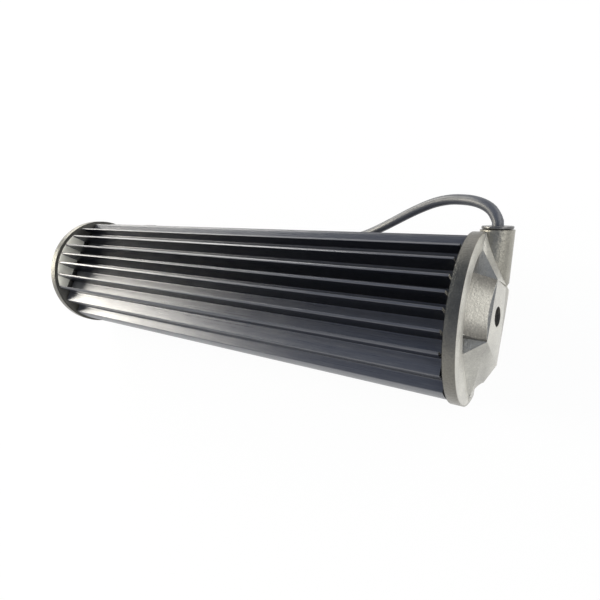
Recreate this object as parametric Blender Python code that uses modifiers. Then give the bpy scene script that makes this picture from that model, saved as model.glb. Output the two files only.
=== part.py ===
"""Off-road LED light bar, lying on its lens.

X runs along the bar towards the end cap that carries the cable gland, Y points
the way the gland points, and Z points away from the lens, up through the
cooling fins. The origin is in the plane that the bar lies on, in the middle of
the box round the bar without its cord. Places are worked out from the middle of
the barrel, and all pieces are moved together at the end.
"""

import math

import bmesh
import bpy
from mathutils import Matrix, Vector

# Fits shared by all pieces
GAP = 0.0003
OVERRUN = 0.001
MERGE = 0.00001

# Housing, an extruded barrel
HOUSING_LENGTH = 0.279
BARREL_RADIUS = 0.0386
AXIS_HEIGHT = 0.024
FRONT_RECESS = 0.0008
BARREL_WALL = 0.0022
BACK_WALL_RISE = 0.022
BACK_WALL = 0.003
BOX_WALL = 0.0022
SHOULDER_RISE = 0.011
WEB = 0.004
FIN_THICKNESS = 0.0014
FIN_PLACE_SHARES = (0.613, 0.403, 0.183, 0.0, -0.183, -0.403, -0.613)
ARC_STEPS = 7

# Lens, its seal and the lip that holds them
LIP_THICKNESS = 0.0019
LIP_OVERLAP = 0.0018
FRONT_BAND = 0.00325
LENS_THICKNESS = 0.003
SEAL_THICKNESS = 0.0012
SEAL_WIDTH = 0.0016
NECK_DEPTH = 0.0077

# Reflector trays and the cups in them
TRAY_DEPTH = 0.019
LED_SPACING = 0.0229
CUPS_PER_ROW = 6
CUP_WALL = 0.00085
CUP_THROAT_RADIUS = 0.0034
CUP_THROAT_DEPTH = 0.001
CUP_RINGS = 4
CUP_SIDES = 20

# LED board
BOARD_THICKNESS = 0.0016
BOARD_MARGIN = 0.0019
LED_SIZE = 0.0035
LED_BASE = 0.0008
LED_DOME_RADIUS = 0.0014
LED_DOME_SINK = 0.00065
BOARD_SCREW_RADIUS = 0.0015
BOARD_SCREW_LENGTH = 0.0048
BOARD_SCREW_HEAD_RADIUS = 0.0028
BOARD_SCREW_HEAD = 0.0016
BOARD_SCREW_INSET = 0.004
BOARD_SCREW_SPACING = 0.1145

# Driver in the rear chamber
DRIVER_LENGTH = 0.11
DRIVER_SIDE_ROOM = 0.0095
INDUCTOR_RADIUS = 0.0065
INDUCTOR_HEIGHT = 0.008
INDUCTOR_WAIST = 0.0012
INDUCTOR_PLACE = (-0.018, -0.006)
CAPACITOR_RADIUS = 0.004
CAPACITOR_HEIGHT = 0.0086
CAPACITOR_PLACES = ((0.012, -0.011), (0.024, -0.011))
CHIP_SIZE = (0.01, 0.009, 0.0024)
CHIP_PLACE = (0.005, 0.008)
TERMINAL_SIZE = (0.009, 0.012, 0.007)

# Wires inside the bar
SUPPLY_WIRE_RADIUS = 0.0009
LED_WIRE_RADIUS = 0.0008
LED_WIRE_INSET = 0.0015
SUPPLY_WIRE_LEAD = 0.0097
SUPPLY_WIRE_SPREAD = 0.0013
LED_WIRE_PLACES = (-0.034, -0.04)
LED_WIRE_PROUD = 0.001

# End caps, cast
CAP_LIP = 0.0014
FLANGE = 0.0052
GASKET_THICKNESS = 0.001
GASKET_MARGIN = 0.0008
GASKET_OPENING_MARGIN = 0.001
GASKET_OPENING = (0.009, 0.041)
CAP_ARC_STEPS = 56

# Boss on an end cap, its heights above the flange and its places on the cap's
# face as shares of the cap's radius
BOSS_HEIGHT = 0.0100
BOSS_EDGE_HEIGHT = 0.0084
BOSS_EDGE_RISE_SHARE = 0.4625
BOSS_EDGE_HALF_SHARE = 0.3375
BOSS_RIDGE_RISE_SHARE = 0.1
BOSS_RIDGE_END_SHARES = (-0.275, 0.375)
BOSS_FRONT_DROP_SHARE = 0.2
BOSS_FRONT_HALF_SHARE = 0.45
BOSS_FOOT_DROP_SHARE = 0.35
BOSS_FOOT_HALF_SHARE = 0.9125

# Recess behind the boss
RECESS_RADIUS_SHARE = 0.7425
RECESS_SHIFT_SHARE = 0.075
RECESS_FLOOR = 0.0025
RECESS_END_SHARES = (-0.5075, 0.685)
RAMP_RUN_SHARE = 0.8

# Bolt hole for a bracket, M8
BOLT_HOLE_RADIUS = 0.00425
BOLT_HOLE_DEPTH = 0.012
BOLT_HOLE_RISE = 0.0095

# End cap screws, M4
CAP_SCREW_RADIUS = 0.002
CAP_SCREW_LENGTH = 0.016
CAP_SCREW_HEAD_RADIUS = 0.0035
CAP_SCREW_HEAD = 0.0024
CAP_SCREW_SOCKET_RADIUS = 0.0016
CAP_SCREW_SOCKET = 0.0014
CAP_SCREW_INSET = 0.00582
CAP_SCREW_DROP = 0.012
COUNTERBORE_CLEARANCE = 0.0006

# Wire room inside an end cap
WIRE_ROOM_RISE = 0.0015
WIRE_ROOM_SIDE_SHARES = (0.2375, 0.525)
WIRE_ROOM_ROOF = 0.0025

# Cable gland, which leans away from the lens. Depths count in from its open end.
GLAND_LEAN_DEGREES = 28.7
GLAND_HEIGHT = 0.0037
GLAND_END_INSET = 0.0006
GLAND_END_RISE = 0.01265
GLAND_RADIUS = 0.00735
GLAND_ROOT_RADIUS = 0.0069
GLAND_ROOT_DEPTH = 0.0238
GLAND_TIP_RADIUS = 0.004
GLAND_TIP_DEPTH = 0.030
GLAND_BORE_RADIUS = 0.005
GLAND_BORE_DEPTH = 0.027
GLAND_WEB_INSET = 0.0001
GLAND_WEB_TIP_HEIGHT = 0.0004
GLAND_WEB_TIP_SHARES = (0.8875, 0.45)
GLAND_WEB_ROOT_SHARES = (0.4125, 0.0925)
GROMMET_FLANGE_RADIUS = 0.0068
GROMMET_FLANGE = 0.0014
GROMMET_LENGTH = 0.0137
GROMMET_EDGE = 0.0005

# Power cord
CORD_RADIUS = 0.0025
CORD_START_DEPTH = 0.0145
CORD_STEP = 0.0055

# Plug on the cord
PLUG_HEIGHT = 0.0067
PLUG_SIDE = 0.0432
PLUG_SEAL_START = -0.096
PLUG_SEAL_LENGTH = 0.0087
PLUG_SEAL_RADII = (0.0036, 0.0052)
PLUG_BODY_LENGTH = 0.025
PLUG_BODY_RADIUS = 0.0064
PLUG_GRIP_RADIUS = 0.0059
PLUG_SOCKET_RADIUS = 0.005
PLUG_SOCKET_DEPTH = 0.011
PLUG_PIN_RADIUS = 0.00075
PLUG_PIN_LENGTH = 0.009
PLUG_PIN_OFFSET = 0.003

# Heights, ends and places that follow from the sizes above
FRONT_HALF = math.sqrt(BARREL_RADIUS ** 2 - (AXIS_HEIGHT - FRONT_RECESS) ** 2)
LENS_HALF_WIDTH = FRONT_HALF - FRONT_BAND
LIP_TOP = FRONT_RECESS + LIP_THICKNESS
LENS_BOTTOM = LIP_TOP + GAP
LENS_TOP = LENS_BOTTOM + LENS_THICKNESS
SEAL_BOTTOM = LENS_TOP + GAP
GROOVE_TOP = SEAL_BOTTOM + SEAL_THICKNESS + GAP
NECK_TOP = GROOVE_TOP + NECK_DEPTH
GROOVE_HALF = LENS_HALF_WIDTH + GAP
LIP_HALF = LENS_HALF_WIDTH - LIP_OVERLAP
NECK_HALF = LENS_HALF_WIDTH - SEAL_WIDTH
TRAY_HALF = NECK_HALF - GAP
ROW_OFFSET = TRAY_HALF / 2
CUP_MOUTH_RADIUS = min(ROW_OFFSET, LED_SPACING / 2) - CUP_WALL
TRAY_BOTTOM = LENS_TOP + GAP
TRAY_TOP = TRAY_BOTTOM + TRAY_DEPTH
BOARD_BOTTOM = TRAY_TOP + GAP
BOARD_TOP = BOARD_BOTTOM + BOARD_THICKNESS
WEB_BOTTOM = BOARD_TOP + GAP
WEB_TOP = WEB_BOTTOM + WEB
BACK_WALL_TOP = AXIS_HEIGHT + BACK_WALL_RISE
CHAMBER_TOP = BACK_WALL_TOP - BACK_WALL
BOX_HALF = math.sqrt(BARREL_RADIUS ** 2 - BACK_WALL_RISE ** 2)
CHAMBER_HALF = BOX_HALF - BOX_WALL
INNER_RADIUS = BARREL_RADIUS - BARREL_WALL
BOARD_HALF_WIDTH = INNER_RADIUS - BOARD_MARGIN
BOARD_SCREW_OFFSET = BOARD_HALF_WIDTH - BOARD_SCREW_INSET
LED_WIRE_HOLE_OFFSET = CHAMBER_HALF - LED_WIRE_INSET
DRIVER_HALF_WIDTH = CHAMBER_HALF - DRIVER_SIDE_ROOM
HOUSING_END = HOUSING_LENGTH / 2
LENS_END = HOUSING_END - GAP
CAP_INNER = HOUSING_END + GASKET_THICKNESS + 2 * GAP
CAP_FACE = CAP_INNER + FLANGE
CAP_RADIUS = BARREL_RADIUS + CAP_LIP
BOSS_EDGE_RISE = BOSS_EDGE_RISE_SHARE * CAP_RADIUS
BOSS_EDGE_HALF = BOSS_EDGE_HALF_SHARE * CAP_RADIUS
RECESS_RADIUS = RECESS_RADIUS_SHARE * CAP_RADIUS
RECESS_SHIFT = RECESS_SHIFT_SHARE * CAP_RADIUS
RECESS_LOW, RECESS_HIGH = (share * CAP_RADIUS for share in RECESS_END_SHARES)
WIRE_ROOM_TOP = AXIS_HEIGHT + BOSS_EDGE_RISE - WIRE_ROOM_ROOF
DRIVER_BOTTOM = WEB_TOP + GAP
DRIVER_TOP = DRIVER_BOTTOM + BOARD_THICKNESS
PART_BOTTOM = DRIVER_TOP + GAP
CAP_SCREW_HEIGHT = AXIS_HEIGHT - CAP_SCREW_DROP
CAP_SCREW_OFFSET = math.sqrt((BARREL_RADIUS - CAP_SCREW_INSET) ** 2 - CAP_SCREW_DROP ** 2)
COUNTERBORE_FLOOR = CAP_FACE - CAP_SCREW_HEAD - GAP
SUPPLY_WIRE_END = DRIVER_LENGTH / 2 + GAP
SUPPLY_WIRE_TURN = DRIVER_LENGTH / 2 + SUPPLY_WIRE_LEAD
GLAND_X = CAP_FACE + GLAND_HEIGHT
GLAND_LEAN = math.radians(GLAND_LEAN_DEGREES)
GLAND_AXIS = Vector((0, math.cos(GLAND_LEAN), math.sin(GLAND_LEAN)))
GLAND_SIDEWAYS = Vector((0, -math.sin(GLAND_LEAN), math.cos(GLAND_LEAN)))
GLAND_END = Vector((GLAND_X, CAP_RADIUS - GLAND_END_INSET, AXIS_HEIGHT + GLAND_END_RISE))


def in_gland(depth, sideways=0.0):
    """A point in the gland, so deep below its open end and so far off its axis."""
    return tuple(GLAND_END - depth * GLAND_AXIS + sideways * GLAND_SIDEWAYS)


# The gland stands out past the casting, so half of that is how far the middle of
# the bar is from the middle of the barrel.
GLAND_PROUD_X = GLAND_X + GLAND_RADIUS - CAP_FACE - BOSS_HEIGHT
GLAND_PROUD_Y = GLAND_END.y + GLAND_RADIUS * math.sin(GLAND_LEAN) - CAP_RADIUS
CENTRE_SHIFT = Vector((-max(GLAND_PROUD_X, 0) / 2, -max(GLAND_PROUD_Y, 0) / 2, 0))

# The cord's route, from inside the gland to the plug
CORD_ROUTE = (
    in_gland(CORD_START_DEPTH),
    in_gland(CORD_START_DEPTH / 2),
    in_gland(0.0),
    in_gland(-GROMMET_FLANGE - OVERRUN),
    (0.1493, 0.0438, 0.0387),
    (0.1468, 0.0475, 0.0395),
    (0.1432, 0.0503, 0.0394),
    (0.1384, 0.0528, 0.0382),
    (0.1326, 0.0548, 0.0362),
    (0.1257, 0.0561, 0.0340),
    (0.1181, 0.0561, 0.0314),
    (0.1105, 0.0547, 0.0286),
    (0.1027, 0.0525, 0.0256),
    (0.0944, 0.0498, 0.0222),
    (0.0864, 0.0477, 0.0184),
    (0.0775, 0.0460, 0.0140),
    (0.0681, 0.0451, 0.0097),
    (0.0580, 0.0446, 0.0060),
    (0.0470, 0.0446, 0.0037),
    (0.0350, 0.0450, 0.0028),
    (0.0200, 0.0457, 0.0027),
    (0.0000, 0.0464, 0.0027),
    (-0.0200, 0.0466, 0.0027),
    (-0.0400, 0.0463, 0.0027),
    (-0.0560, 0.0455, 0.0030),
    (-0.0680, 0.0445, 0.0040),
    (-0.0780, 0.0436, 0.0053),
    (-0.0860, PLUG_SIDE, 0.0063),
    (-0.0920, PLUG_SIDE, PLUG_HEIGHT),
    (-0.0980, PLUG_SIDE, PLUG_HEIGHT),
    (PLUG_SEAL_START - PLUG_SEAL_LENGTH, PLUG_SIDE, PLUG_HEIGHT),
)

# The supply wires' routes, from the cord's end to the terminal block
SUPPLY_ROUTES = {
    "positive": (
        in_gland(CORD_START_DEPTH + GAP, SUPPLY_WIRE_SPREAD),
        in_gland(CORD_START_DEPTH + CORD_RADIUS, SUPPLY_WIRE_SPREAD),
        (0.1484, 0.0196, 0.0292),
        (0.1456, 0.0176, 0.0301),
        (0.1424, 0.0164, 0.0330),
        (0.1390, 0.0146, 0.0356),
        (0.1340, 0.0126, 0.0368),
        (0.1200, 0.0090, 0.0370),
        (0.0900, 0.0045, 0.0372),
        (SUPPLY_WIRE_TURN, 0.0025, 0.0372),
        (SUPPLY_WIRE_END, 0.0025, 0.0372),
    ),
    "negative": (
        in_gland(CORD_START_DEPTH + GAP, -SUPPLY_WIRE_SPREAD),
        in_gland(CORD_START_DEPTH + CORD_RADIUS, -SUPPLY_WIRE_SPREAD),
        (0.1482, 0.0203, 0.0265),
        (0.1454, 0.0178, 0.0272),
        (0.1422, 0.0152, 0.0306),
        (0.1392, 0.0126, 0.0340),
        (0.1340, 0.0090, 0.0352),
        (0.1200, 0.0035, 0.0356),
        (0.0900, -0.0010, 0.0370),
        (SUPPLY_WIRE_TURN, -0.0025, 0.0372),
        (SUPPLY_WIRE_END, -0.0025, 0.0372),
    ),
}


# Collections, materials and the basic shapes

def clear_scene():
    for thing in list(bpy.data.objects):
        bpy.data.objects.remove(thing, do_unlink=True)


def new_collection(name):
    collection = bpy.data.collections.new(name)
    bpy.context.scene.collection.children.link(collection)
    return collection


def material(name, colour, roughness, metallic=0.0, alpha=1.0):
    made = bpy.data.materials.new(name)
    made.use_nodes = True
    shader = made.node_tree.nodes["Principled BSDF"]
    shader.inputs["Base Color"].default_value = (*colour, 1.0)
    shader.inputs["Roughness"].default_value = roughness
    shader.inputs["Metallic"].default_value = metallic
    shader.inputs["Alpha"].default_value = alpha
    made.diffuse_color = (*colour, alpha)
    return made


def place(name, mesh, collection, finish=None):
    """Put a mesh in a collection as an object, with its material."""
    thing = bpy.data.objects.new(name, mesh)
    collection.objects.link(thing)
    if finish is not None:
        mesh.materials.clear()
        mesh.materials.append(finish)
    return thing


def as_cutter(thing):
    """A cutter stays in the file but isn't a piece of the bar."""
    thing.hide_render = True
    thing.display_type = "WIRE"
    return thing


def shade_round(thing, degrees=35):
    thing.data.shade_smooth()
    thing.data.set_sharp_from_angle(angle=math.radians(degrees))


def box_mesh(name, low, high):
    """A box between two corners."""
    body = bmesh.new()
    bmesh.ops.create_cube(body, size=1.0)
    for vertex in body.verts:
        vertex.co = Vector(
            (low[axis] if vertex.co[axis] < 0 else high[axis]) for axis in range(3)
        )
    mesh = bpy.data.meshes.new(name)
    body.to_mesh(mesh)
    body.free()
    return mesh


def rod_mesh(name, start, end, radius, end_radius=None, sides=24):
    """A cylinder or a cone between two points."""
    start = Vector(start)
    end = Vector(end)
    run = end - start
    turn = run.to_track_quat("Z", "Y").to_matrix().to_4x4()
    body = bmesh.new()
    bmesh.ops.create_cone(
        body,
        cap_ends=True,
        cap_tris=False,
        segments=sides,
        radius1=radius,
        radius2=radius if end_radius is None else end_radius,
        depth=run.length,
        matrix=Matrix.Translation((start + end) / 2) @ turn,
    )
    mesh = bpy.data.meshes.new(name)
    body.to_mesh(mesh)
    body.free()
    return mesh


def hull_mesh(name, points):
    """The convex solid round a set of points."""
    body = bmesh.new()
    for point in points:
        body.verts.new(point)
    made = bmesh.ops.convex_hull(body, input=body.verts)
    inside = [item for item in made["geom_interior"] if isinstance(item, bmesh.types.BMVert)]
    bmesh.ops.delete(body, geom=inside, context="VERTS")
    bmesh.ops.dissolve_limit(
        body, angle_limit=math.radians(0.5), verts=body.verts, edges=body.edges
    )
    bmesh.ops.recalc_face_normals(body, faces=body.faces)
    mesh = bpy.data.meshes.new(name)
    body.to_mesh(mesh)
    body.free()
    return mesh


def extruded_mesh(name, outlines, start, end):
    """Flat outlines in Y and Z, the inner ones being holes, drawn out along X."""
    curve = bpy.data.curves.new(name, "CURVE")
    curve.dimensions = "2D"
    curve.fill_mode = "BOTH"
    curve.extrude = (end - start) / 2
    for outline in outlines:
        spline = curve.splines.new("POLY")
        spline.points.add(len(outline) - 1)
        for point, (across, height) in zip(spline.points, outline):
            point.co = (across, height, 0.0, 1.0)
        spline.use_cyclic_u = True
    guide = bpy.data.objects.new(name, curve)
    bpy.context.scene.collection.objects.link(guide)
    guide.rotation_euler = (math.pi / 2, 0.0, math.pi / 2)
    guide.location = ((start + end) / 2, 0.0, 0.0)
    return mesh_from_curve(guide)


def mesh_from_curve(guide):
    """The curve's solid as a mesh in world places, with its caps welded on."""
    bpy.context.view_layer.update()
    evaluated = guide.evaluated_get(bpy.context.evaluated_depsgraph_get())
    mesh = bpy.data.meshes.new_from_object(evaluated)
    mesh.transform(guide.matrix_world)
    body = bmesh.new()
    body.from_mesh(mesh)
    bmesh.ops.remove_doubles(body, verts=body.verts, dist=MERGE)
    bmesh.ops.recalc_face_normals(body, faces=body.faces)
    body.to_mesh(mesh)
    body.free()
    mesh.name = guide.name
    curve = guide.data
    bpy.data.objects.remove(guide, do_unlink=True)
    bpy.data.curves.remove(curve)
    return mesh


def turned(name, profile, origin, direction, collection, finish, sides=32, closed=False):
    """A profile of radius and length pairs, turned about a line from the origin."""
    mesh = bpy.data.meshes.new(name)
    points = [(radius, 0.0, length) for radius, length in profile]
    edges = [(index, index + 1) for index in range(len(points) - 1)]
    if closed:
        edges.append((len(points) - 1, 0))
    mesh.from_pydata(points, edges, [])
    thing = place(name, mesh, collection, finish)
    thing.location = origin
    thing.rotation_mode = "QUATERNION"
    thing.rotation_quaternion = Vector((0, 0, 1)).rotation_difference(Vector(direction))
    screw = thing.modifiers.new("turn", "SCREW")
    screw.axis = "Z"
    screw.steps = sides
    screw.render_steps = sides
    screw.use_merge_vertices = True
    screw.merge_threshold = MERGE
    screw.use_smooth_shade = True
    return thing


def smooth_route(points, step):
    """Points about a step apart on a smooth curve through a route's points."""
    knots = [Vector(point) for point in points]
    ends = [2 * knots[0] - knots[1]], [2 * knots[-1] - knots[-2]]
    padded = ends[0] + knots + ends[1]
    dense = []
    fine = 24
    for index in range(1, len(padded) - 2):
        before, here, after, beyond = padded[index - 1:index + 3]
        for part in range(fine):
            share = part / fine
            dense.append(
                0.5 * (
                    2 * here
                    + (after - before) * share
                    + (2 * before - 5 * here + 4 * after - beyond) * share ** 2
                    + (3 * here - before - 3 * after + beyond) * share ** 3
                )
            )
    dense.append(knots[-1])
    walked = [0.0]
    for first, second in zip(dense, dense[1:]):
        walked.append(walked[-1] + (second - first).length)
    count = max(2, round(walked[-1] / step))
    route = []
    index = 0
    for stop in range(count + 1):
        target = walked[-1] * stop / count
        while index < len(dense) - 2 and walked[index + 1] < target:
            index += 1
        span = walked[index + 1] - walked[index]
        share = (target - walked[index]) / span
        route.append(dense[index].lerp(dense[index + 1], share))
    return route


def tube(name, points, radius, collection, finish, rings=2):
    """A round tube along points, closed at both ends."""
    curve = bpy.data.curves.new(name, "CURVE")
    curve.dimensions = "3D"
    curve.bevel_depth = radius
    curve.bevel_resolution = rings
    curve.use_fill_caps = True
    spline = curve.splines.new("POLY")
    spline.points.add(len(points) - 1)
    for point, position in zip(spline.points, points):
        point.co = (*position, 1.0)
    curve.materials.append(finish)
    thing = bpy.data.objects.new(name, curve)
    collection.objects.link(thing)
    return thing


def boolean(thing, other, operation):
    change = thing.modifiers.new(operation.lower(), "BOOLEAN")
    change.operation = operation
    change.solver = "EXACT"
    change.object = other
    return change


def cut(thing, mesh, cutters):
    boolean(thing, as_cutter(place(mesh.name, mesh, cutters)), "DIFFERENCE")


def join(thing, mesh, cutters):
    boolean(thing, as_cutter(place(mesh.name, mesh, cutters)), "UNION")


# The housing

def barrel_arc(radius, low_rise, high_rise, side, steps):
    """Points up one side of the barrel's circle, between two heights."""
    low = math.asin(low_rise / radius)
    high = math.asin(high_rise / radius)
    arc = []
    for step in range(steps + 1):
        angle = low + (high - low) * step / steps
        arc.append((side * radius * math.cos(angle), AXIS_HEIGHT + radius * math.sin(angle)))
    return arc


def fin_outline():
    """Back wall and fins, from the gland side across to the other side."""
    outline = []
    for share in FIN_PLACE_SHARES:
        middle = share * BARREL_RADIUS
        for edge in (middle + FIN_THICKNESS / 2, middle - FIN_THICKNESS / 2):
            tip = AXIS_HEIGHT + math.sqrt(BARREL_RADIUS ** 2 - edge ** 2)
            ends = [(edge, BACK_WALL_TOP), (edge, tip)]
            outline += ends if edge > middle else ends[::-1]
    return outline


def housing_outline():
    """The section of the extrusion, open towards the lens."""
    front_rise = FRONT_RECESS - AXIS_HEIGHT
    near_side = barrel_arc(BARREL_RADIUS, front_rise, SHOULDER_RISE, 1, 2 * ARC_STEPS)
    near_side += [(BOX_HALF, AXIS_HEIGHT + SHOULDER_RISE), (BOX_HALF, BACK_WALL_TOP)]
    near_inside = [
        (LIP_HALF, FRONT_RECESS),
        (LIP_HALF, LIP_TOP),
        (GROOVE_HALF, LIP_TOP),
        (GROOVE_HALF, GROOVE_TOP),
        (NECK_HALF, GROOVE_TOP),
        (NECK_HALF, NECK_TOP),
    ]
    near_inside += barrel_arc(
        INNER_RADIUS, NECK_TOP - AXIS_HEIGHT, WEB_BOTTOM - AXIS_HEIGHT, 1, ARC_STEPS
    )
    far_side = [(-across, height) for across, height in reversed(near_side)]
    far_inside = [(-across, height) for across, height in near_inside]
    return near_side + fin_outline() + far_side + far_inside + near_inside[::-1]


def chamber_outline():
    return [
        (-CHAMBER_HALF, WEB_TOP),
        (CHAMBER_HALF, WEB_TOP),
        (CHAMBER_HALF, CHAMBER_TOP),
        (-CHAMBER_HALF, CHAMBER_TOP),
    ]


def board_screw_places():
    return [
        (column * BOARD_SCREW_SPACING, side * BOARD_SCREW_OFFSET)
        for side in (1, -1)
        for column in (-1, 0, 1)
    ]


def cap_screw_places():
    """End of the bar and side of it, for each of the four screws."""
    return [(end, side) for end in (1, -1) for side in (1, -1)]


def make_housing(parts, cutters):
    finish = material("anodised_aluminium", (0.022, 0.023, 0.027), 0.34, 0.55)
    mesh = extruded_mesh(
        "housing", [housing_outline(), chamber_outline()], -HOUSING_END, HOUSING_END
    )
    housing = place("housing", mesh, parts, finish)
    for end, side in cap_screw_places():
        across = side * CAP_SCREW_OFFSET
        port = rod_mesh(
            f"screw_port_{end}_{side}",
            (end * (COUNTERBORE_FLOOR - CAP_SCREW_LENGTH), across, CAP_SCREW_HEIGHT),
            (end * (HOUSING_END + OVERRUN), across, CAP_SCREW_HEIGHT),
            CAP_SCREW_RADIUS + GAP,
            sides=16,
        )
        cut(housing, port, cutters)
    for along, across in board_screw_places():
        tapped = rod_mesh(
            f"web_hole_{along}_{across}",
            (along, across, WEB_BOTTOM - OVERRUN),
            (along, across, WEB_BOTTOM + BOARD_SCREW_LENGTH - BOARD_THICKNESS),
            BOARD_SCREW_RADIUS + GAP,
            sides=12,
        )
        cut(housing, tapped, cutters)
    for along in LED_WIRE_PLACES:
        passage = rod_mesh(
            f"web_passage_{along}",
            (along, LED_WIRE_HOLE_OFFSET, WEB_BOTTOM - OVERRUN),
            (along, LED_WIRE_HOLE_OFFSET, WEB_TOP + OVERRUN),
            LED_WIRE_RADIUS + GAP,
            sides=12,
        )
        cut(housing, passage, cutters)
    return housing


# Lens, seal and reflectors

def make_lens(parts):
    finish = material("clear_polycarbonate", (0.86, 0.88, 0.88), 0.06, 0.0, 0.25)
    mesh = box_mesh(
        "lens",
        (-LENS_END, -LENS_HALF_WIDTH, LENS_BOTTOM),
        (LENS_END, LENS_HALF_WIDTH, LENS_TOP),
    )
    return place("lens", mesh, parts, finish)


def make_lens_seal(parts, cutters):
    finish = material("seal_rubber", (0.02, 0.02, 0.02), 0.8)
    mesh = box_mesh(
        "lens_seal",
        (-LENS_END, -LENS_HALF_WIDTH, SEAL_BOTTOM),
        (LENS_END, LENS_HALF_WIDTH, SEAL_BOTTOM + SEAL_THICKNESS),
    )
    seal = place("lens_seal", mesh, parts, finish)
    opening = box_mesh(
        "seal_opening",
        (-LENS_END + SEAL_WIDTH, -NECK_HALF, SEAL_BOTTOM - OVERRUN),
        (LENS_END - SEAL_WIDTH, NECK_HALF, SEAL_BOTTOM + SEAL_THICKNESS + OVERRUN),
    )
    cut(seal, opening, cutters)
    return seal


def cup_profile():
    """A paraboloid from the throat at the LED board down to the mouth."""
    throat = TRAY_DEPTH - CUP_THROAT_DEPTH
    profile = [
        (0.0, TRAY_DEPTH + OVERRUN),
        (CUP_THROAT_RADIUS, TRAY_DEPTH + OVERRUN),
    ]
    for ring in range(CUP_RINGS + 1):
        share = ring / CUP_RINGS
        area = CUP_THROAT_RADIUS ** 2 * (1 - share) + CUP_MOUTH_RADIUS ** 2 * share
        profile.append((math.sqrt(area), throat * (1 - share)))
    profile += [(CUP_MOUTH_RADIUS, -OVERRUN), (0.0, -OVERRUN)]
    return profile


def repeat(thing, name, count, axis, distance):
    array = thing.modifiers.new(name, "ARRAY")
    array.count = count
    array.use_relative_offset = False
    array.use_constant_offset = True
    array.constant_offset_displace = tuple(
        distance if index == axis else 0.0 for index in range(3)
    )
    array.use_merge_vertices = False
    return array


def make_reflectors(parts, cutters):
    finish = material("bright_reflector", (0.86, 0.87, 0.88), 0.1, 1.0)
    frame = GAP + SEAL_WIDTH
    trays = []
    for name, side in (("reflector_gland_side", 1), ("reflector_plain_side", -1)):
        ends = sorted((side * GAP / 2, side * (LENS_END - frame)))
        mesh = box_mesh(
            name, (ends[0], -TRAY_HALF, TRAY_BOTTOM), (ends[1], TRAY_HALF, TRAY_TOP)
        )
        tray = place(name, mesh, parts, finish)
        first = (0.5 if side > 0 else 0.5 - CUPS_PER_ROW) * LED_SPACING
        cups = turned(
            f"cups_{name}", cup_profile(), (first, -ROW_OFFSET, TRAY_BOTTOM),
            (0, 0, 1), cutters, None, sides=CUP_SIDES,
        )
        repeat(cups, "along", CUPS_PER_ROW, 0, LED_SPACING)
        repeat(cups, "across", 2, 1, 2 * ROW_OFFSET)
        boolean(tray, as_cutter(cups), "DIFFERENCE")
        trays.append(tray)
    return trays


# LED board

def led_mesh():
    """A square carrier with a dome, the dome pointing down to the lens."""
    body = bmesh.new()
    bmesh.ops.create_uvsphere(body, u_segments=12, v_segments=8, radius=LED_DOME_RADIUS)
    upper = [vertex for vertex in body.verts if vertex.co.z > MERGE]
    bmesh.ops.delete(body, geom=upper, context="VERTS")
    rim = [edge for edge in body.edges if edge.is_boundary]
    bmesh.ops.contextual_create(body, geom=rim)
    bmesh.ops.translate(body, verts=body.verts, vec=(0.0, 0.0, -LED_DOME_SINK))
    mesh = bpy.data.meshes.new("led_dome")
    bmesh.ops.recalc_face_normals(body, faces=body.faces)
    body.to_mesh(mesh)
    body.free()
    return mesh


def make_leds(parts, cutters):
    finish = material("led_phosphor", (0.85, 0.72, 0.2), 0.35)
    half = LED_SIZE / 2
    dome = led_mesh()
    count = 0
    for side in (1, -1):
        for column in range(-CUPS_PER_ROW, CUPS_PER_ROW):
            count += 1
            name = f"led_{count:02d}"
            base = box_mesh(name, (-half, -half, -LED_BASE), (half, half, 0.0))
            led = place(name, base, parts, finish)
            led.location = ((column + 0.5) * LED_SPACING, side * ROW_OFFSET, BOARD_BOTTOM - GAP)
            cap = as_cutter(place(f"dome_{count:02d}", dome, cutters))
            cap.location = led.location
            boolean(led, cap, "UNION")


def make_led_board(parts, cutters):
    finish = material("board_white", (0.82, 0.83, 0.8), 0.45)
    mesh = box_mesh(
        "led_board",
        (-LENS_END, -BOARD_HALF_WIDTH, BOARD_BOTTOM),
        (LENS_END, BOARD_HALF_WIDTH, BOARD_TOP),
    )
    board = place("led_board", mesh, parts, finish)
    holes = [(along, across, BOARD_SCREW_RADIUS) for along, across in board_screw_places()]
    holes += [(along, LED_WIRE_HOLE_OFFSET, LED_WIRE_RADIUS) for along in LED_WIRE_PLACES]
    for along, across, radius in holes:
        hole = rod_mesh(
            f"board_hole_{along}_{across}",
            (along, across, BOARD_BOTTOM - OVERRUN),
            (along, across, BOARD_TOP + OVERRUN),
            radius + GAP,
            sides=12,
        )
        cut(board, hole, cutters)
    return board


def make_board_screws(parts):
    finish = material("zinc_screw", (0.62, 0.62, 0.6), 0.3, 1.0)
    for index, (along, across) in enumerate(board_screw_places(), 1):
        profile = [
            (0.0, BOARD_SCREW_LENGTH),
            (BOARD_SCREW_RADIUS, BOARD_SCREW_LENGTH),
            (BOARD_SCREW_RADIUS, 0.0),
            (BOARD_SCREW_HEAD_RADIUS, 0.0),
            (BOARD_SCREW_HEAD_RADIUS, -BOARD_SCREW_HEAD / 2),
            (BOARD_SCREW_RADIUS, -BOARD_SCREW_HEAD),
            (0.0, -BOARD_SCREW_HEAD),
        ]
        origin = (along, across, BOARD_BOTTOM - GAP)
        turned(f"board_screw_{index}", profile, origin, (0, 0, 1), parts, finish, sides=12)


# Driver

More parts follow.
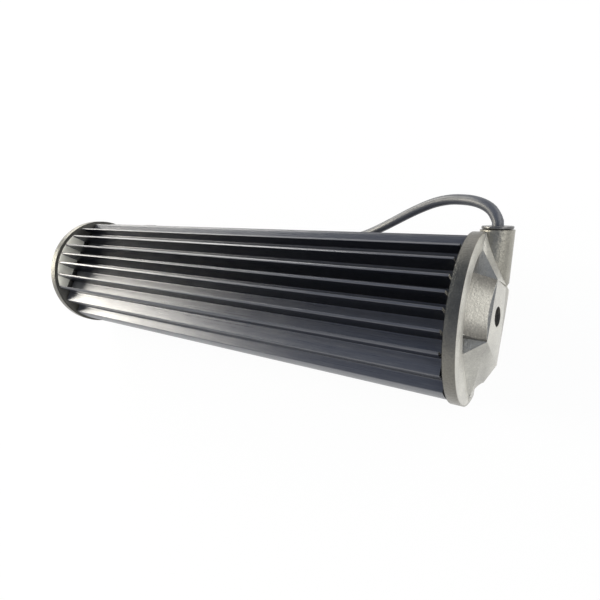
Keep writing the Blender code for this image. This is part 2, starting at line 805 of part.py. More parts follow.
def make_driver(parts):
    green = material("board_green", (0.03, 0.16, 0.07), 0.5)
    ferrite = material("ferrite", (0.05, 0.05, 0.055), 0.6)
    sleeve = material("capacitor_sleeve", (0.03, 0.05, 0.16), 0.35)
    epoxy = material("chip_epoxy", (0.02, 0.02, 0.02), 0.5)
    nylon = material("terminal_nylon", (0.05, 0.25, 0.09), 0.45)
    board = box_mesh(
        "driver_board",
        (-DRIVER_LENGTH / 2, -DRIVER_HALF_WIDTH, DRIVER_BOTTOM),
        (DRIVER_LENGTH / 2, DRIVER_HALF_WIDTH, DRIVER_TOP),
    )
    place("driver_board", board, parts, green)

    flange = INDUCTOR_WAIST
    profile = [
        (0.0, INDUCTOR_HEIGHT),
        (INDUCTOR_RADIUS, INDUCTOR_HEIGHT),
        (INDUCTOR_RADIUS, INDUCTOR_HEIGHT - flange),
        (INDUCTOR_RADIUS - flange, INDUCTOR_HEIGHT - flange),
        (INDUCTOR_RADIUS - flange, flange),
        (INDUCTOR_RADIUS, flange),
        (INDUCTOR_RADIUS, 0.0),
        (0.0, 0.0),
    ]
    turned(
        "driver_inductor", profile, (*INDUCTOR_PLACE, PART_BOTTOM), (0, 0, 1),
        parts, ferrite, sides=20,
    )
    for index, (along, across) in enumerate(CAPACITOR_PLACES, 1):
        can = rod_mesh(
            f"driver_capacitor_{index}",
            (along, across, PART_BOTTOM),
            (along, across, PART_BOTTOM + CAPACITOR_HEIGHT),
            CAPACITOR_RADIUS,
            sides=20,
        )
        shade_round(place(can.name, can, parts, sleeve))

    along, across = CHIP_PLACE
    length, width, height = CHIP_SIZE
    chip = box_mesh(
        "driver_chip",
        (along - length / 2, across - width / 2, PART_BOTTOM),
        (along + length / 2, across + width / 2, PART_BOTTOM + height),
    )
    place("driver_chip", chip, parts, epoxy)

    length, width, height = TERMINAL_SIZE
    block = box_mesh(
        "driver_terminal",
        (DRIVER_LENGTH / 2 - length, -width / 2, PART_BOTTOM),
        (DRIVER_LENGTH / 2, width / 2, PART_BOTTOM + height),
    )
    place("driver_terminal", block, parts, nylon)


def make_wires(parts):
    red = material("wire_red", (0.5, 0.02, 0.02), 0.4)
    black = material("wire_black", (0.015, 0.015, 0.015), 0.4)
    finishes = {"positive": red, "negative": black}
    for name, route in SUPPLY_ROUTES.items():
        points = smooth_route(route, 3 * SUPPLY_WIRE_RADIUS)
        tube(f"supply_wire_{name}", points, SUPPLY_WIRE_RADIUS, parts, finishes[name], 1)
    rise = PART_BOTTOM + LED_WIRE_RADIUS
    inset = DRIVER_HALF_WIDTH - 3 * LED_WIRE_RADIUS
    for name, along in zip(finishes, LED_WIRE_PLACES):
        bend = 3 * LED_WIRE_RADIUS
        route = (
            (along, inset, PART_BOTTOM),
            (along, inset, rise),
            (along, inset + bend, rise + bend),
            (along, LED_WIRE_HOLE_OFFSET - bend, rise + bend),
            (along, LED_WIRE_HOLE_OFFSET, rise),
            (along, LED_WIRE_HOLE_OFFSET, WEB_TOP),
            (along, LED_WIRE_HOLE_OFFSET, BOARD_BOTTOM - LED_WIRE_PROUD),
        )
        points = smooth_route(route, 2 * LED_WIRE_RADIUS)
        tube(f"led_wire_{name}", points, LED_WIRE_RADIUS, parts, finishes[name], 1)


# End caps

def cap_outline(radius, bottom):
    """A circle on the barrel's axis, cut flat along the front."""
    drop = AXIS_HEIGHT - bottom
    corner = math.asin(-drop / radius)
    sweep = math.pi - 2 * corner
    outline = []
    for step in range(CAP_ARC_STEPS + 1):
        angle = corner + sweep * step / CAP_ARC_STEPS
        outline.append((radius * math.cos(angle), AXIS_HEIGHT + radius * math.sin(angle)))
    return outline


def boss_points(end):
    """Corners of the boss. Places count up from the flange's outer face."""
    def corner(height, across, rise):
        return end * (CAP_FACE + height), across, AXIS_HEIGHT + rise

    foot = BOSS_FOOT_HALF_SHARE * CAP_RADIUS
    foot_rise = -BOSS_FOOT_DROP_SHARE * CAP_RADIUS
    points = []
    for height in (-OVERRUN, 0.0):
        points += [
            corner(height, RECESS_HIGH, BOSS_EDGE_RISE),
            corner(height, RECESS_LOW, BOSS_EDGE_RISE),
            corner(height, foot, foot_rise),
            corner(height, -foot, foot_rise),
        ]
    for side in (1, -1):
        points.append(corner(BOSS_EDGE_HEIGHT, side * BOSS_EDGE_HALF, BOSS_EDGE_RISE))
        points.append(boss_front_corner(end, side))
    return points + boss_ridge_corners(end)


def boss_front_corner(end, side):
    """A corner of the boss's flat top on the lens side."""
    return (
        end * (CAP_FACE + BOSS_HEIGHT),
        side * BOSS_FRONT_HALF_SHARE * CAP_RADIUS,
        AXIS_HEIGHT - BOSS_FRONT_DROP_SHARE * CAP_RADIUS,
    )


def boss_ridge_corners(end):
    """The two corners of the boss's flat top on the fin side."""
    rise = BOSS_RIDGE_RISE_SHARE * CAP_RADIUS
    return [
        (end * (CAP_FACE + BOSS_HEIGHT), share * CAP_RADIUS, AXIS_HEIGHT + rise)
        for share in BOSS_RIDGE_END_SHARES
    ]


def gland_web_meshes(name, end):
    """The web between the gland and the recess, as two wedges side by side."""
    def corner(height, across, rise):
        return end * (CAP_FACE + height), across, AXIS_HEIGHT + rise

    edge = BOSS_EDGE_RISE - GLAND_WEB_INSET
    tip = [share * CAP_RADIUS for share in GLAND_WEB_TIP_SHARES]
    root = [share * CAP_RADIUS for share in GLAND_WEB_ROOT_SHARES]
    places = {
        "rear": (BOSS_EDGE_HEIGHT, BOSS_EDGE_HALF, edge),
        "rim": (0.0, RECESS_HIGH, edge),
        "tip": (GLAND_WEB_TIP_HEIGHT, *tip),
        "root": (BOSS_HEIGHT, *root),
    }
    meshes = []
    for tops, extra in ((("rear", "rim", "root"), ()), (("rim", "tip", "root"), ("rear",))):
        points = [corner(*places[top]) for top in tops]
        points += [corner(-OVERRUN, *places[foot][1:]) for foot in (*tops, *extra)]
        meshes.append(hull_mesh(f"{name}_web_{tops[0]}", points))
    return meshes


def recess_outline():
    """The recess behind the boss: an arc along the rim, straight along the boss."""
    first = math.acos((RECESS_HIGH - RECESS_SHIFT) / RECESS_RADIUS)
    last = math.acos((RECESS_LOW - RECESS_SHIFT) / RECESS_RADIUS)
    outline = []
    steps = 2 * ARC_STEPS
    for step in range(steps + 1):
        angle = first + (last - first) * step / steps
        outline.append(
            (
                RECESS_SHIFT + RECESS_RADIUS * math.cos(angle),
                AXIS_HEIGHT + RECESS_RADIUS * math.sin(angle),
            )
        )
    outline.append((RECESS_LOW, AXIS_HEIGHT + BOSS_EDGE_RISE))
    outline.append((RECESS_HIGH, AXIS_HEIGHT + BOSS_EDGE_RISE))
    return [point for point in outline if point[1] >= AXIS_HEIGHT + BOSS_EDGE_RISE]


def ramp_points(end):
    """The slope from the boss's rear edge down to the recess's floor."""
    fall = BOSS_EDGE_HEIGHT + RECESS_FLOOR
    rear = BOSS_EDGE_RISE + RAMP_RUN_SHARE * fall
    inside = BOSS_EDGE_RISE - OVERRUN
    corners = [
        (BOSS_EDGE_HEIGHT, BOSS_EDGE_RISE),
        (-RECESS_FLOOR, rear),
        (-RECESS_FLOOR - OVERRUN, rear),
        (-RECESS_FLOOR - OVERRUN, inside),
        (BOSS_EDGE_HEIGHT - OVERRUN, inside),
    ]
    return [
        (end * (CAP_FACE + height), side * BOSS_EDGE_HALF, AXIS_HEIGHT + rise)
        for height, rise in corners
        for side in (1, -1)
    ]


def make_end_cap(name, end, with_gland, parts, cutters):
    finish = material(f"{name}_casting", (0.2, 0.195, 0.185), 0.5, 0.35)
    edges = sorted((end * CAP_INNER, end * CAP_FACE))
    flange = extruded_mesh(name, [cap_outline(CAP_RADIUS, 0.0)], *edges)
    cap = place(name, flange, parts, finish)

    join(cap, hull_mesh(f"{name}_boss", boss_points(end)), cutters)
    edges = sorted((end * (CAP_FACE - RECESS_FLOOR), end * (CAP_FACE + BOSS_HEIGHT + OVERRUN)))
    cut(cap, extruded_mesh(f"{name}_recess", [recess_outline()], *edges), cutters)
    join(cap, hull_mesh(f"{name}_ramp", ramp_points(end)), cutters)

    if with_gland:
        for web in gland_web_meshes(name, end):
            join(cap, web, cutters)
        join(cap, hull_mesh(f"{name}_gland", gland_points()), cutters)

    hole_floor = CAP_FACE + BOSS_HEIGHT - BOLT_HOLE_DEPTH
    bolt_height = AXIS_HEIGHT + BOLT_HOLE_RISE
    bolt_hole = rod_mesh(
        f"{name}_bolt_hole",
        (end * hole_floor, 0.0, bolt_height),
        (end * (CAP_FACE + BOSS_HEIGHT + OVERRUN), 0.0, bolt_height),
        BOLT_HOLE_RADIUS,
        sides=32,
    )
    cut(cap, bolt_hole, cutters)

    for side in (1, -1):
        across = side * CAP_SCREW_OFFSET
        seat = rod_mesh(
            f"{name}_counterbore_{side}",
            (end * COUNTERBORE_FLOOR, across, CAP_SCREW_HEIGHT),
            (end * (CAP_FACE + BOSS_HEIGHT), across, CAP_SCREW_HEIGHT),
            CAP_SCREW_HEAD_RADIUS + COUNTERBORE_CLEARANCE,
            sides=24,
        )
        cut(cap, seat, cutters)
        hole = rod_mesh(
            f"{name}_screw_hole_{side}",
            (end * (CAP_INNER - OVERRUN), across, CAP_SCREW_HEIGHT),
            (end * (CAP_FACE + OVERRUN), across, CAP_SCREW_HEIGHT),
            CAP_SCREW_RADIUS + GAP,
            sides=16,
        )
        cut(cap, hole, cutters)
        near, far = sorted(side * share * CAP_RADIUS for share in WIRE_ROOM_SIDE_SHARES)
        edges = sorted((end * (CAP_INNER - OVERRUN), end * (CAP_FACE + WIRE_ROOM_RISE)))
        room = box_mesh(
            f"{name}_wire_room_{side}",
            (edges[0], near, AXIS_HEIGHT),
            (edges[1], far, WIRE_ROOM_TOP),
        )
        cut(cap, room, cutters)

    if with_gland:
        bore = rod_mesh(
            f"{name}_bore",
            in_gland(GLAND_BORE_DEPTH),
            in_gland(-OVERRUN),
            GLAND_BORE_RADIUS,
            sides=28,
        )
        cut(cap, bore, cutters)
    return cap


def gland_points():
    """Rings of the gland's tube, whose inner end narrows into the boss."""
    points = []
    sides = 32
    rings = (
        (0.0, GLAND_RADIUS),
        (GLAND_ROOT_DEPTH, GLAND_ROOT_RADIUS),
        (GLAND_TIP_DEPTH, GLAND_TIP_RADIUS),
    )
    for depth, radius in rings:
        for side in range(sides):
            angle = 2 * math.pi * side / sides
            along, across, height = in_gland(depth, radius * math.sin(angle))
            points.append((along + radius * math.cos(angle), across, height))
    return points


def make_gasket(name, end, parts, cutters):
    finish = material(f"{name}_rubber", (0.03, 0.03, 0.03), 0.85)
    low, high = GASKET_OPENING
    half = NECK_HALF - GASKET_OPENING_MARGIN
    opening = [(-half, low), (half, low), (half, high), (-half, high)]
    edges = sorted((end * (HOUSING_END + GAP), end * (HOUSING_END + GAP + GASKET_THICKNESS)))
    rise = BACK_WALL_RISE - GASKET_MARGIN
    front = FRONT_RECESS + GASKET_MARGIN
    radius = BARREL_RADIUS - GASKET_MARGIN
    side = barrel_arc(radius, front - AXIS_HEIGHT, SHOULDER_RISE - GASKET_MARGIN, 1, ARC_STEPS)
    box_side = BOX_HALF - GASKET_MARGIN
    side += [(box_side, side[-1][1]), (box_side, AXIS_HEIGHT + rise)]
    outline = side + [(-across, height) for across, height in reversed(side)]
    gasket = place(name, extruded_mesh(name, [outline, opening], *edges), parts, finish)
    for side in (1, -1):
        across = side * CAP_SCREW_OFFSET
        hole = rod_mesh(
            f"{name}_hole_{side}",
            (end * HOUSING_END, across, CAP_SCREW_HEIGHT),
            (end * CAP_INNER, across, CAP_SCREW_HEIGHT),
            CAP_SCREW_RADIUS + GAP,
            sides=16,
        )
        cut(gasket, hole, cutters)
    return gasket


def make_cap_screws(parts):
    finish = material("black_screw", (0.03, 0.03, 0.032), 0.35, 0.8)
    chamfer = CAP_SCREW_HEAD - CAP_SCREW_SOCKET
    for index, (end, side) in enumerate(cap_screw_places(), 1):
        profile = [
            (0.0, CAP_SCREW_HEAD - CAP_SCREW_SOCKET),
            (CAP_SCREW_SOCKET_RADIUS, CAP_SCREW_HEAD - CAP_SCREW_SOCKET),
            (CAP_SCREW_SOCKET_RADIUS, CAP_SCREW_HEAD),
            (CAP_SCREW_HEAD_RADIUS - chamfer / 2, CAP_SCREW_HEAD),
            (CAP_SCREW_HEAD_RADIUS, CAP_SCREW_HEAD - chamfer / 2),
            (CAP_SCREW_HEAD_RADIUS, 0.0),
            (CAP_SCREW_RADIUS, 0.0),
            (CAP_SCREW_RADIUS, -CAP_SCREW_LENGTH),
            (0.0, -CAP_SCREW_LENGTH),
        ]
        origin = (
            end * (COUNTERBORE_FLOOR + GAP), side * CAP_SCREW_OFFSET, CAP_SCREW_HEIGHT
        )
        turned(
            f"end_cap_screw_{index}", profile, origin, (end, 0, 0), parts, finish, sides=20
        )


# Cord, grommet and plug

def make_grommet(parts):
    finish = material("grommet_rubber", (0.02, 0.02, 0.022), 0.45)
    outer = GLAND_BORE_RADIUS - GAP
    inner = CORD_RADIUS + GAP
    profile = [
        (inner, GROMMET_FLANGE),
        (GROMMET_FLANGE_RADIUS - GROMMET_EDGE, GROMMET_FLANGE),
        (GROMMET_FLANGE_RADIUS, GROMMET_FLANGE - GROMMET_EDGE),
        (GROMMET_FLANGE_RADIUS, 0.0),
        (outer, 0.0),
        (outer, GROMMET_FLANGE - GROMMET_LENGTH),
        (inner, GROMMET_FLANGE - GROMMET_LENGTH),
    ]
    turned(
        "cord_grommet", profile, in_gland(-GAP), GLAND_AXIS, parts, finish, closed=True
    )


def make_cord(parts):
    finish = material("cord_jacket", (0.02, 0.021, 0.024), 0.42)
    points = smooth_route(CORD_ROUTE, CORD_STEP)
    tube("power_cord", points, CORD_RADIUS, parts, finish, 2)


def make_plug(parts):
    plastic = material("plug_nylon", (0.02, 0.02, 0.02), 0.4)
    rubber = material("plug_rubber", (0.12, 0.12, 0.125), 0.7)
    brass = material("plug_brass", (0.75, 0.6, 0.35), 0.3, 1.0)
    inner = CORD_RADIUS + GAP
    slim, wide = PLUG_SEAL_RADII
    seal = [
        (inner, PLUG_SEAL_LENGTH),
        (wide, PLUG_SEAL_LENGTH),
        (wide, PLUG_SEAL_LENGTH / 2),
        (slim, 0.0),
        (inner, 0.0),
    ]
    start = (PLUG_SEAL_START, PLUG_SIDE, PLUG_HEIGHT)
    turned("plug_seal", seal, start, (-1, 0, 0), parts, rubber, sides=24, closed=True)

    body_start = PLUG_SEAL_START - PLUG_SEAL_LENGTH - GAP
    floor = PLUG_BODY_LENGTH - PLUG_SOCKET_DEPTH
    body = [
        (0.0, floor),
        (PLUG_SOCKET_RADIUS, floor),
        (PLUG_SOCKET_RADIUS, PLUG_BODY_LENGTH),
        (PLUG_BODY_RADIUS, PLUG_BODY_LENGTH),
        (PLUG_BODY_RADIUS, floor),
        (PLUG_GRIP_RADIUS, floor),
        (PLUG_GRIP_RADIUS, 0.0),
        (0.0, 0.0),
    ]
    start = (body_start, PLUG_SIDE, PLUG_HEIGHT)
    turned("plug_body", body, start, (-1, 0, 0), parts, plastic, sides=28)
    pin_start = body_start - floor - GAP
    for index, side in enumerate((1, -1), 1):
        across = PLUG_SIDE + side * PLUG_PIN_OFFSET
        pin = rod_mesh(
            f"plug_pin_{index}",
            (pin_start, across, PLUG_HEIGHT),
            (pin_start - PLUG_PIN_LENGTH, across, PLUG_HEIGHT),
            PLUG_PIN_RADIUS,
            sides=12,
        )
        shade_round(place(pin.name, pin, parts, brass))


def centre_bar(collections):
    """Move everything so that the origin is in the middle under the bar."""
    for collection in collections:
        for thing in collection.objects:
            thing.location += CENTRE_SHIFT


clear_scene()
light_bar = new_collection("led_light_bar")
tools = new_collection("cutters")
make_housing(light_bar, tools)
make_lens(light_bar)
make_lens_seal(light_bar, tools)
make_reflectors(light_bar, tools)
make_led_board(light_bar, tools)
make_leds(light_bar, tools)
make_board_screws(light_bar)
make_driver(light_bar)
make_wires(light_bar)
for cap_name, cap_end, has_gland in (("gland", 1, True), ("plain", -1, False)):
    make_end_cap(f"{cap_name}_end_cap", cap_end, has_gland, light_bar, tools)
    make_gasket(f"{cap_name}_end_gasket", cap_end, light_bar, tools)
make_cap_screws(light_bar)
make_grommet(light_bar)
make_cord(light_bar)
make_plug(light_bar)
centre_bar((light_bar, tools))
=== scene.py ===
import math

import bmesh
import bpy
from mathutils import Matrix, Vector


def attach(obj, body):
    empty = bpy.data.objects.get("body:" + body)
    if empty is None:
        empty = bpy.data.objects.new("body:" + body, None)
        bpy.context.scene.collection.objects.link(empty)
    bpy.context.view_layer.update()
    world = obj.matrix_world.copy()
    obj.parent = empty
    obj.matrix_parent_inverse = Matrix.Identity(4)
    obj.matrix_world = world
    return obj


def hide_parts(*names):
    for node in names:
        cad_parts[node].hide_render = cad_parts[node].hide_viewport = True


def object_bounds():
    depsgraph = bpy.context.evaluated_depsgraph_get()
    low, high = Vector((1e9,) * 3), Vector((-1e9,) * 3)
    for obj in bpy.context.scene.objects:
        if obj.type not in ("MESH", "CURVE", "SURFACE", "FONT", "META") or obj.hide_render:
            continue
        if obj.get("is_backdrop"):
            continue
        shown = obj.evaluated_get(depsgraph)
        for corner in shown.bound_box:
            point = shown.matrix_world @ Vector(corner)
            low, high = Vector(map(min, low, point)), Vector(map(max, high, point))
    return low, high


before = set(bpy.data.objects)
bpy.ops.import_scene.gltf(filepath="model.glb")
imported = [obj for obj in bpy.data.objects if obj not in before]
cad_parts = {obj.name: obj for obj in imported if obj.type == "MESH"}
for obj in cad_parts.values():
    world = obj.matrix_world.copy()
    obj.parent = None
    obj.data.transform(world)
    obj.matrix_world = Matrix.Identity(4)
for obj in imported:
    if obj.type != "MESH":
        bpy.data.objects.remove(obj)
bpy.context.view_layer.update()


# The view in the photograph
# The camera stands close above the gland end and looks back along the bar. All
# places in this file count from the middle of the barrel, and MIDDLE is how far the
# frame has it from the middle of the bar.
MIDDLE = Vector((-0.000525, -0.0014648, 0.0))
CAMERA_PLACE = Vector((0.1833, -0.0525, 0.2293))
FOCAL_LENGTH = 25.97
view_right = Vector((0.83731765, 0.25598544, -0.48308448))
view_up = Vector((-0.11241729, 0.94534334, 0.30608548))
view_back = Vector((0.53503412, -0.20198373, 0.82032985))


def placed(name, data):
    """A new object in the scene."""
    made = bpy.data.objects.new(name, data)
    bpy.context.scene.collection.objects.link(made)
    return made


lens_data = bpy.data.cameras.new("photo_view")
lens_data.sensor_width = 36.0
lens_data.lens = FOCAL_LENGTH
lens_data.clip_start = 0.01
lens_data.clip_end = 20.0
photo_view = placed("photo_view", lens_data)
photo_view.matrix_world = (
    Matrix.Translation(CAMERA_PLACE + MIDDLE)
    @ Matrix((view_right, view_up, view_back)).transposed().to_4x4()
)
bpy.context.scene.camera = photo_view


# Power cord
# A two-core round cord of 5 mm in a black rubber jacket. It leaves the leaning
# gland, bends over behind the housing and lies along it on the ground.
GLAND_END = Vector((0.1500, 0.0394, 0.03665))
GLAND_LEAN = math.radians(28.7)
GLAND_WAY = Vector((0, math.cos(GLAND_LEAN), math.sin(GLAND_LEAN)))
PLUG_AXIS = (0.0432, 0.0067)
CORD_RADIUS = 0.0025
CORD_END = -0.1047
cord_route = (
    GLAND_END - 0.0145 * GLAND_WAY, GLAND_END - 0.0072 * GLAND_WAY,
    GLAND_END, GLAND_END + 0.0027 * GLAND_WAY,
    (0.1493, 0.0438, 0.0387), (0.1468, 0.0475, 0.0395), (0.1432, 0.0503, 0.0394),
    (0.1384, 0.0528, 0.0382), (0.1326, 0.0548, 0.0362), (0.1257, 0.0561, 0.0340),
    (0.1181, 0.0561, 0.0314), (0.1105, 0.0547, 0.0286), (0.1027, 0.0525, 0.0256),
    (0.0944, 0.0498, 0.0222), (0.0864, 0.0477, 0.0184), (0.0775, 0.0460, 0.0140),
    (0.0681, 0.0451, 0.0097), (0.0580, 0.0446, 0.0060), (0.0470, 0.0446, 0.0037),
    (0.0350, 0.0450, 0.0028), (0.0200, 0.0457, 0.0027), (0.0000, 0.0464, 0.0027),
    (-0.0200, 0.0466, 0.0027), (-0.0400, 0.0463, 0.0027), (-0.0560, 0.0455, 0.0030),
    (-0.0680, 0.0445, 0.0040), (-0.0780, 0.0436, 0.0053),
    (-0.0860, PLUG_AXIS[0], 0.0063),
    (-0.0920, *PLUG_AXIS), (-0.0980, *PLUG_AXIS), (CORD_END, *PLUG_AXIS),
)


def smooth_route(points, step):
    """Points about a step apart on a smooth curve through a route's points."""
    knots = [Vector(point) for point in points]
    padded = [2 * knots[0] - knots[1]] + knots + [2 * knots[-1] - knots[-2]]
    dense = []
    for index in range(1, len(padded) - 2):
        before, here, after, beyond = padded[index - 1:index + 3]
        for part in range(24):
            share = part / 24
            dense.append(
                0.5 * (
                    2 * here
                    + (after - before) * share
                    + (2 * before - 5 * here + 4 * after - beyond) * share ** 2
                    + (3 * here - before - 3 * after + beyond) * share ** 3
                )
            )
    dense.append(knots[-1])
    walked = [0.0]
    for first, second in zip(dense, dense[1:]):
        walked.append(walked[-1] + (second - first).length)
    count = round(walked[-1] / step)
    route = []
    index = 0
    for stop in range(count + 1):
        target = walked[-1] * stop / count
        while index < len(dense) - 2 and walked[index + 1] < target:
            index += 1
        span = walked[index + 1] - walked[index]
        route.append(dense[index].lerp(dense[index + 1], (target - walked[index]) / span))
    return route


def finished_mesh(name, body):
    """A mesh with its faces pointing outwards."""
    bmesh.ops.recalc_face_normals(body, faces=body.faces)
    mesh = bpy.data.meshes.new(name)
    body.to_mesh(mesh)
    body.free()
    return mesh


def tube_mesh(name, points, radius, sides):
    """A round tube along points, with flat ends and a UV map along it."""
    ways = [(after - before).normalized() for before, after in zip(points, points[1:])]
    ways.append(ways[-1])
    side = ways[0].orthogonal().normalized()
    rings = []
    travelled = 0.0
    body = bmesh.new()
    for index, (point, way) in enumerate(zip(points, ways)):
        if index:
            travelled += (point - points[index - 1]).length
            middle = (ways[index - 1] + way).normalized()
        else:
            middle = way
        side = (side - middle * side.dot(middle)).normalized()
        across = middle.cross(side)
        ring = []
        for turn in range(sides):
            angle = 2 * math.pi * turn / sides
            offset = side * math.cos(angle) + across * math.sin(angle)
            ring.append(body.verts.new(point + radius * offset))
        rings.append((ring, travelled))
    layer = body.loops.layers.uv.new("along")
    for (first, start), (second, end) in zip(rings, rings[1:]):
        for turn in range(sides):
            beyond = (turn + 1) % sides
            face = body.faces.new((first[turn], first[beyond], second[beyond], second[turn]))
            places = ((start, turn), (start, turn + 1), (end, turn + 1), (end, turn))
            for loop, (along, around) in zip(face.loops, places):
                loop[layer].uv = (along, around / sides * 2 * math.pi * radius)
    body.faces.new(list(reversed(rings[0][0])))
    body.faces.new(rings[-1][0])
    return finished_mesh(name, body)


def show(name, mesh, finish, sharp=40):
    """A finished piece: its mesh in place, smooth but for its sharp edges."""
    mesh.transform(Matrix.Translation(MIDDLE))
    piece = placed(name, mesh)
    mesh.materials.clear()
    mesh.materials.append(finish)
    mesh.shade_smooth()
    mesh.set_sharp_from_angle(angle=math.radians(sharp))
    return piece


def add(tree, kind, inputs=None, **settings):
    """One node. An input is a value or the socket that feeds it."""
    made = tree.nodes.new(kind)
    for name, value in settings.items():
        setattr(made, name, value)
    for name, value in (inputs or {}).items():
        if isinstance(value, bpy.types.NodeSocket):
            tree.links.new(value, made.inputs[name])
        else:
            made.inputs[name].default_value = value
    return made


def maths(tree, kind, first, second=0.0):
    """The outcome of a sum or test on two values or sockets."""
    return add(tree, "ShaderNodeMath", {0: first, 1: second}, operation=kind).outputs[0]


def ramp(tree, source, *stops):
    """A colour ramp with its stops as pairs of a place and a colour."""
    made = add(tree, "ShaderNodeValToRGB", {"Fac": source})
    line = made.color_ramp
    while len(line.elements) < len(stops):
        line.elements.new(0.5)
    for element, (place, colour) in zip(line.elements, stops):
        element.position = place
        element.color = (*colour, 1.0)
    return made.outputs["Color"]


def spread(tree, source, low, high, first=0.3, last=0.7, way="LINEAR"):
    """One range of values, as a rule a mask's middle, spread over another."""
    made = add(
        tree, "ShaderNodeMapRange",
        {"Value": source, "From Min": first, "From Max": last, "To Min": low, "To Max": high},
        interpolation_type=way,
    )
    return made.outputs["Result"]


def relief(tree, height, strength, distance, **below):
    """The normals of a mask seen as a height, on top of others where they are given."""
    made = add(
        tree, "ShaderNodeBump",
        {"Height": height, "Strength": strength, "Distance": distance, **below},
    )
    return made.outputs["Normal"]


def new_finish(name, roughness, metallic=0.0, **sockets):
    """A material with its shader's plain values set."""
    finish = bpy.data.materials.new(name)
    finish.use_nodes = True
    shader = finish.node_tree.nodes["Principled BSDF"]
    shader.inputs["Roughness"].default_value = roughness
    shader.inputs["Metallic"].default_value = metallic
    for label, value in sockets.items():
        shader.inputs[label.replace("_", " ")].default_value = value
    return finish, finish.node_tree, shader


def feed(tree, shader, sockets):
    """Masks and colours joined to a shader's sockets."""
    for label, source in sockets.items():
        tree.links.new(source, shader.inputs[label])


VECTOR = "NodeSocketVector"
NUMBER = "NodeSocketFloat"


def new_group(name, inputs, outputs):
    """An empty shader group with its named sockets."""
    group = bpy.data.node_groups.new(name, "ShaderNodeTree")
    for label, kind, value in inputs:
        socket = group.interface.new_socket(label, in_out="INPUT", socket_type=kind)
        if value is not None:
            socket.default_value = value
    for label in outputs:
        group.interface.new_socket(label, in_out="OUTPUT", socket_type=NUMBER)
    start, end = group.nodes.new("NodeGroupInput"), group.nodes.new("NodeGroupOutput")
    return group, start.outputs, end.inputs


def build_skin_group():
    """Fine grain and the larger smudges that handling leaves, as two masks."""
    group, given, masks = new_group(
        "handled skin",
        (
            ("Place", VECTOR, None), ("Grain size", NUMBER, 0.0004),
            ("Smudge size", NUMBER, 0.02),
        ),
        ("Grain", "Smudge"),
    )
    for label, source, detail, depth in (
        ("Grain", "Grain size", 3.0, 0.62), ("Smudge", "Smudge size", 5.0, 0.55)
    ):
        scale = maths(group, "DIVIDE", 1.0, given[source])
        noise = add(
            group, "ShaderNodeTexNoise",
            {"Vector": given["Place"], "Scale": scale, "Detail": detail, "Roughness": depth},
        )
        group.links.new(noise.outputs["Fac"], masks[label])
    return group


handled_skin = build_skin_group()


def skin_masks(tree, place, grain, smudge):
    """The two masks of the handled skin, at a piece's own sizes."""
    sizes = {"Place": place, "Grain size": grain, "Smudge size": smudge}
    return add(tree, "ShaderNodeGroup", sizes, node_tree=handled_skin).outputs


def mottle(tree, skin):
    """One mask from the skin's two, half of each."""
    both = maths(tree, "ADD", skin["Grain"], skin["Smudge"])
    return maths(tree, "MULTIPLY", both, 0.5)


def skinned(name, dark, light, smooth, rough, grain, smudge, bump, metallic=0.0, **sockets):
    """A finish whose colour and roughness follow smudges, with a grain in relief."""
    finish, tree, shader = new_finish(name, (smooth + rough) / 2, metallic, **sockets)
    place = add(tree, "ShaderNodeTexCoord").outputs["Object"]
    skin = skin_masks(tree, place, grain, smudge)
    feed(
        tree, shader,
        {
            "Base Color": ramp(tree, mottle(tree, skin), (0.36, dark), (0.64, light)),
            "Roughness": spread(tree, skin["Smudge"], smooth, rough),
            "Normal": relief(tree, skin["Grain"], bump, grain / 2),
        },
    )
    return finish


jacket = skinned(
    "cord_jacket", (0.040, 0.044, 0.056), (0.060, 0.065, 0.080), 0.34, 0.46,
    0.0009, 0.014, 0.2, Specular_IOR_Level=0.8,
)
cord_points = smooth_route(cord_route, 0.002)
cord = show("cord", tube_mesh("cord", cord_points, CORD_RADIUS, 24), jacket)
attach(cord, "root")
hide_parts("power_cord")


# Cord grommet
# A turned rubber bush pressed into the gland, with a rounded collar outside it
# that grips the cord and keeps water out.
COLLAR_RADIUS = 0.0068
COLLAR_FACE = 0.0003
COLLAR_TOP = 0.0017
SLEEVE_END = -0.0117
SLEEVE_RADIUS = 0.0047


def rounded(points, radius, steps=3, closed=True):
    """A polyline with each corner turned into a short arc."""
    corners = [Vector(point) for point in points]
    count = len(corners)
    path = []
    for index, corner in enumerate(corners):
        before = corners[index - 1] - corner
        after = corners[(index + 1) % count] - corner
        at_end = not closed and index in (0, count - 1)
        if at_end or abs(before.normalized().dot(after.normalized())) > 0.995:
            path.append(tuple(corner))
            continue
        reach = min(radius, 0.45 * before.length, 0.45 * after.length)
        first = corner + before.normalized() * reach
        last = corner + after.normalized() * reach
        for step in range(steps + 1):
            share = step / steps
            point = first.lerp(corner, share).lerp(corner.lerp(last, share), share)
            path.append(tuple(point))
    return path


def lathe_mesh(name, profile, origin, direction, sides, closed=False):
    """Pairs of a radius and a length turned about a line. A closed profile leaves a bore."""
    turn = Vector((0, 0, 1)).rotation_difference(Vector(direction)).to_matrix().to_4x4()
    place = Matrix.Translation(origin) @ turn
    body = bmesh.new()
    rings = []
    for radius, length in profile:
        if radius < 1e-7:
            rings.append([body.verts.new(place @ Vector((0, 0, length)))])
            continue
        ring = []
        for side in range(sides):
            angle = 2 * math.pi * side / sides
            spot = Vector((radius * math.cos(angle), radius * math.sin(angle), length))
            ring.append(body.verts.new(place @ spot))
        rings.append(ring)
    pairs = list(zip(rings, rings[1:]))
    if closed:
        pairs.append((rings[-1], rings[0]))
    for first, second in pairs:
        for side in range(sides):
            beyond = (side + 1) % sides
            corners = []
            for ring, picks in ((first, (side, beyond)), (second, (beyond, side))):
                chosen = picks if len(ring) > 1 else (0,)
                corners += [ring[pick] for pick in chosen]
            body.faces.new(corners)
    return finished_mesh(name, body)


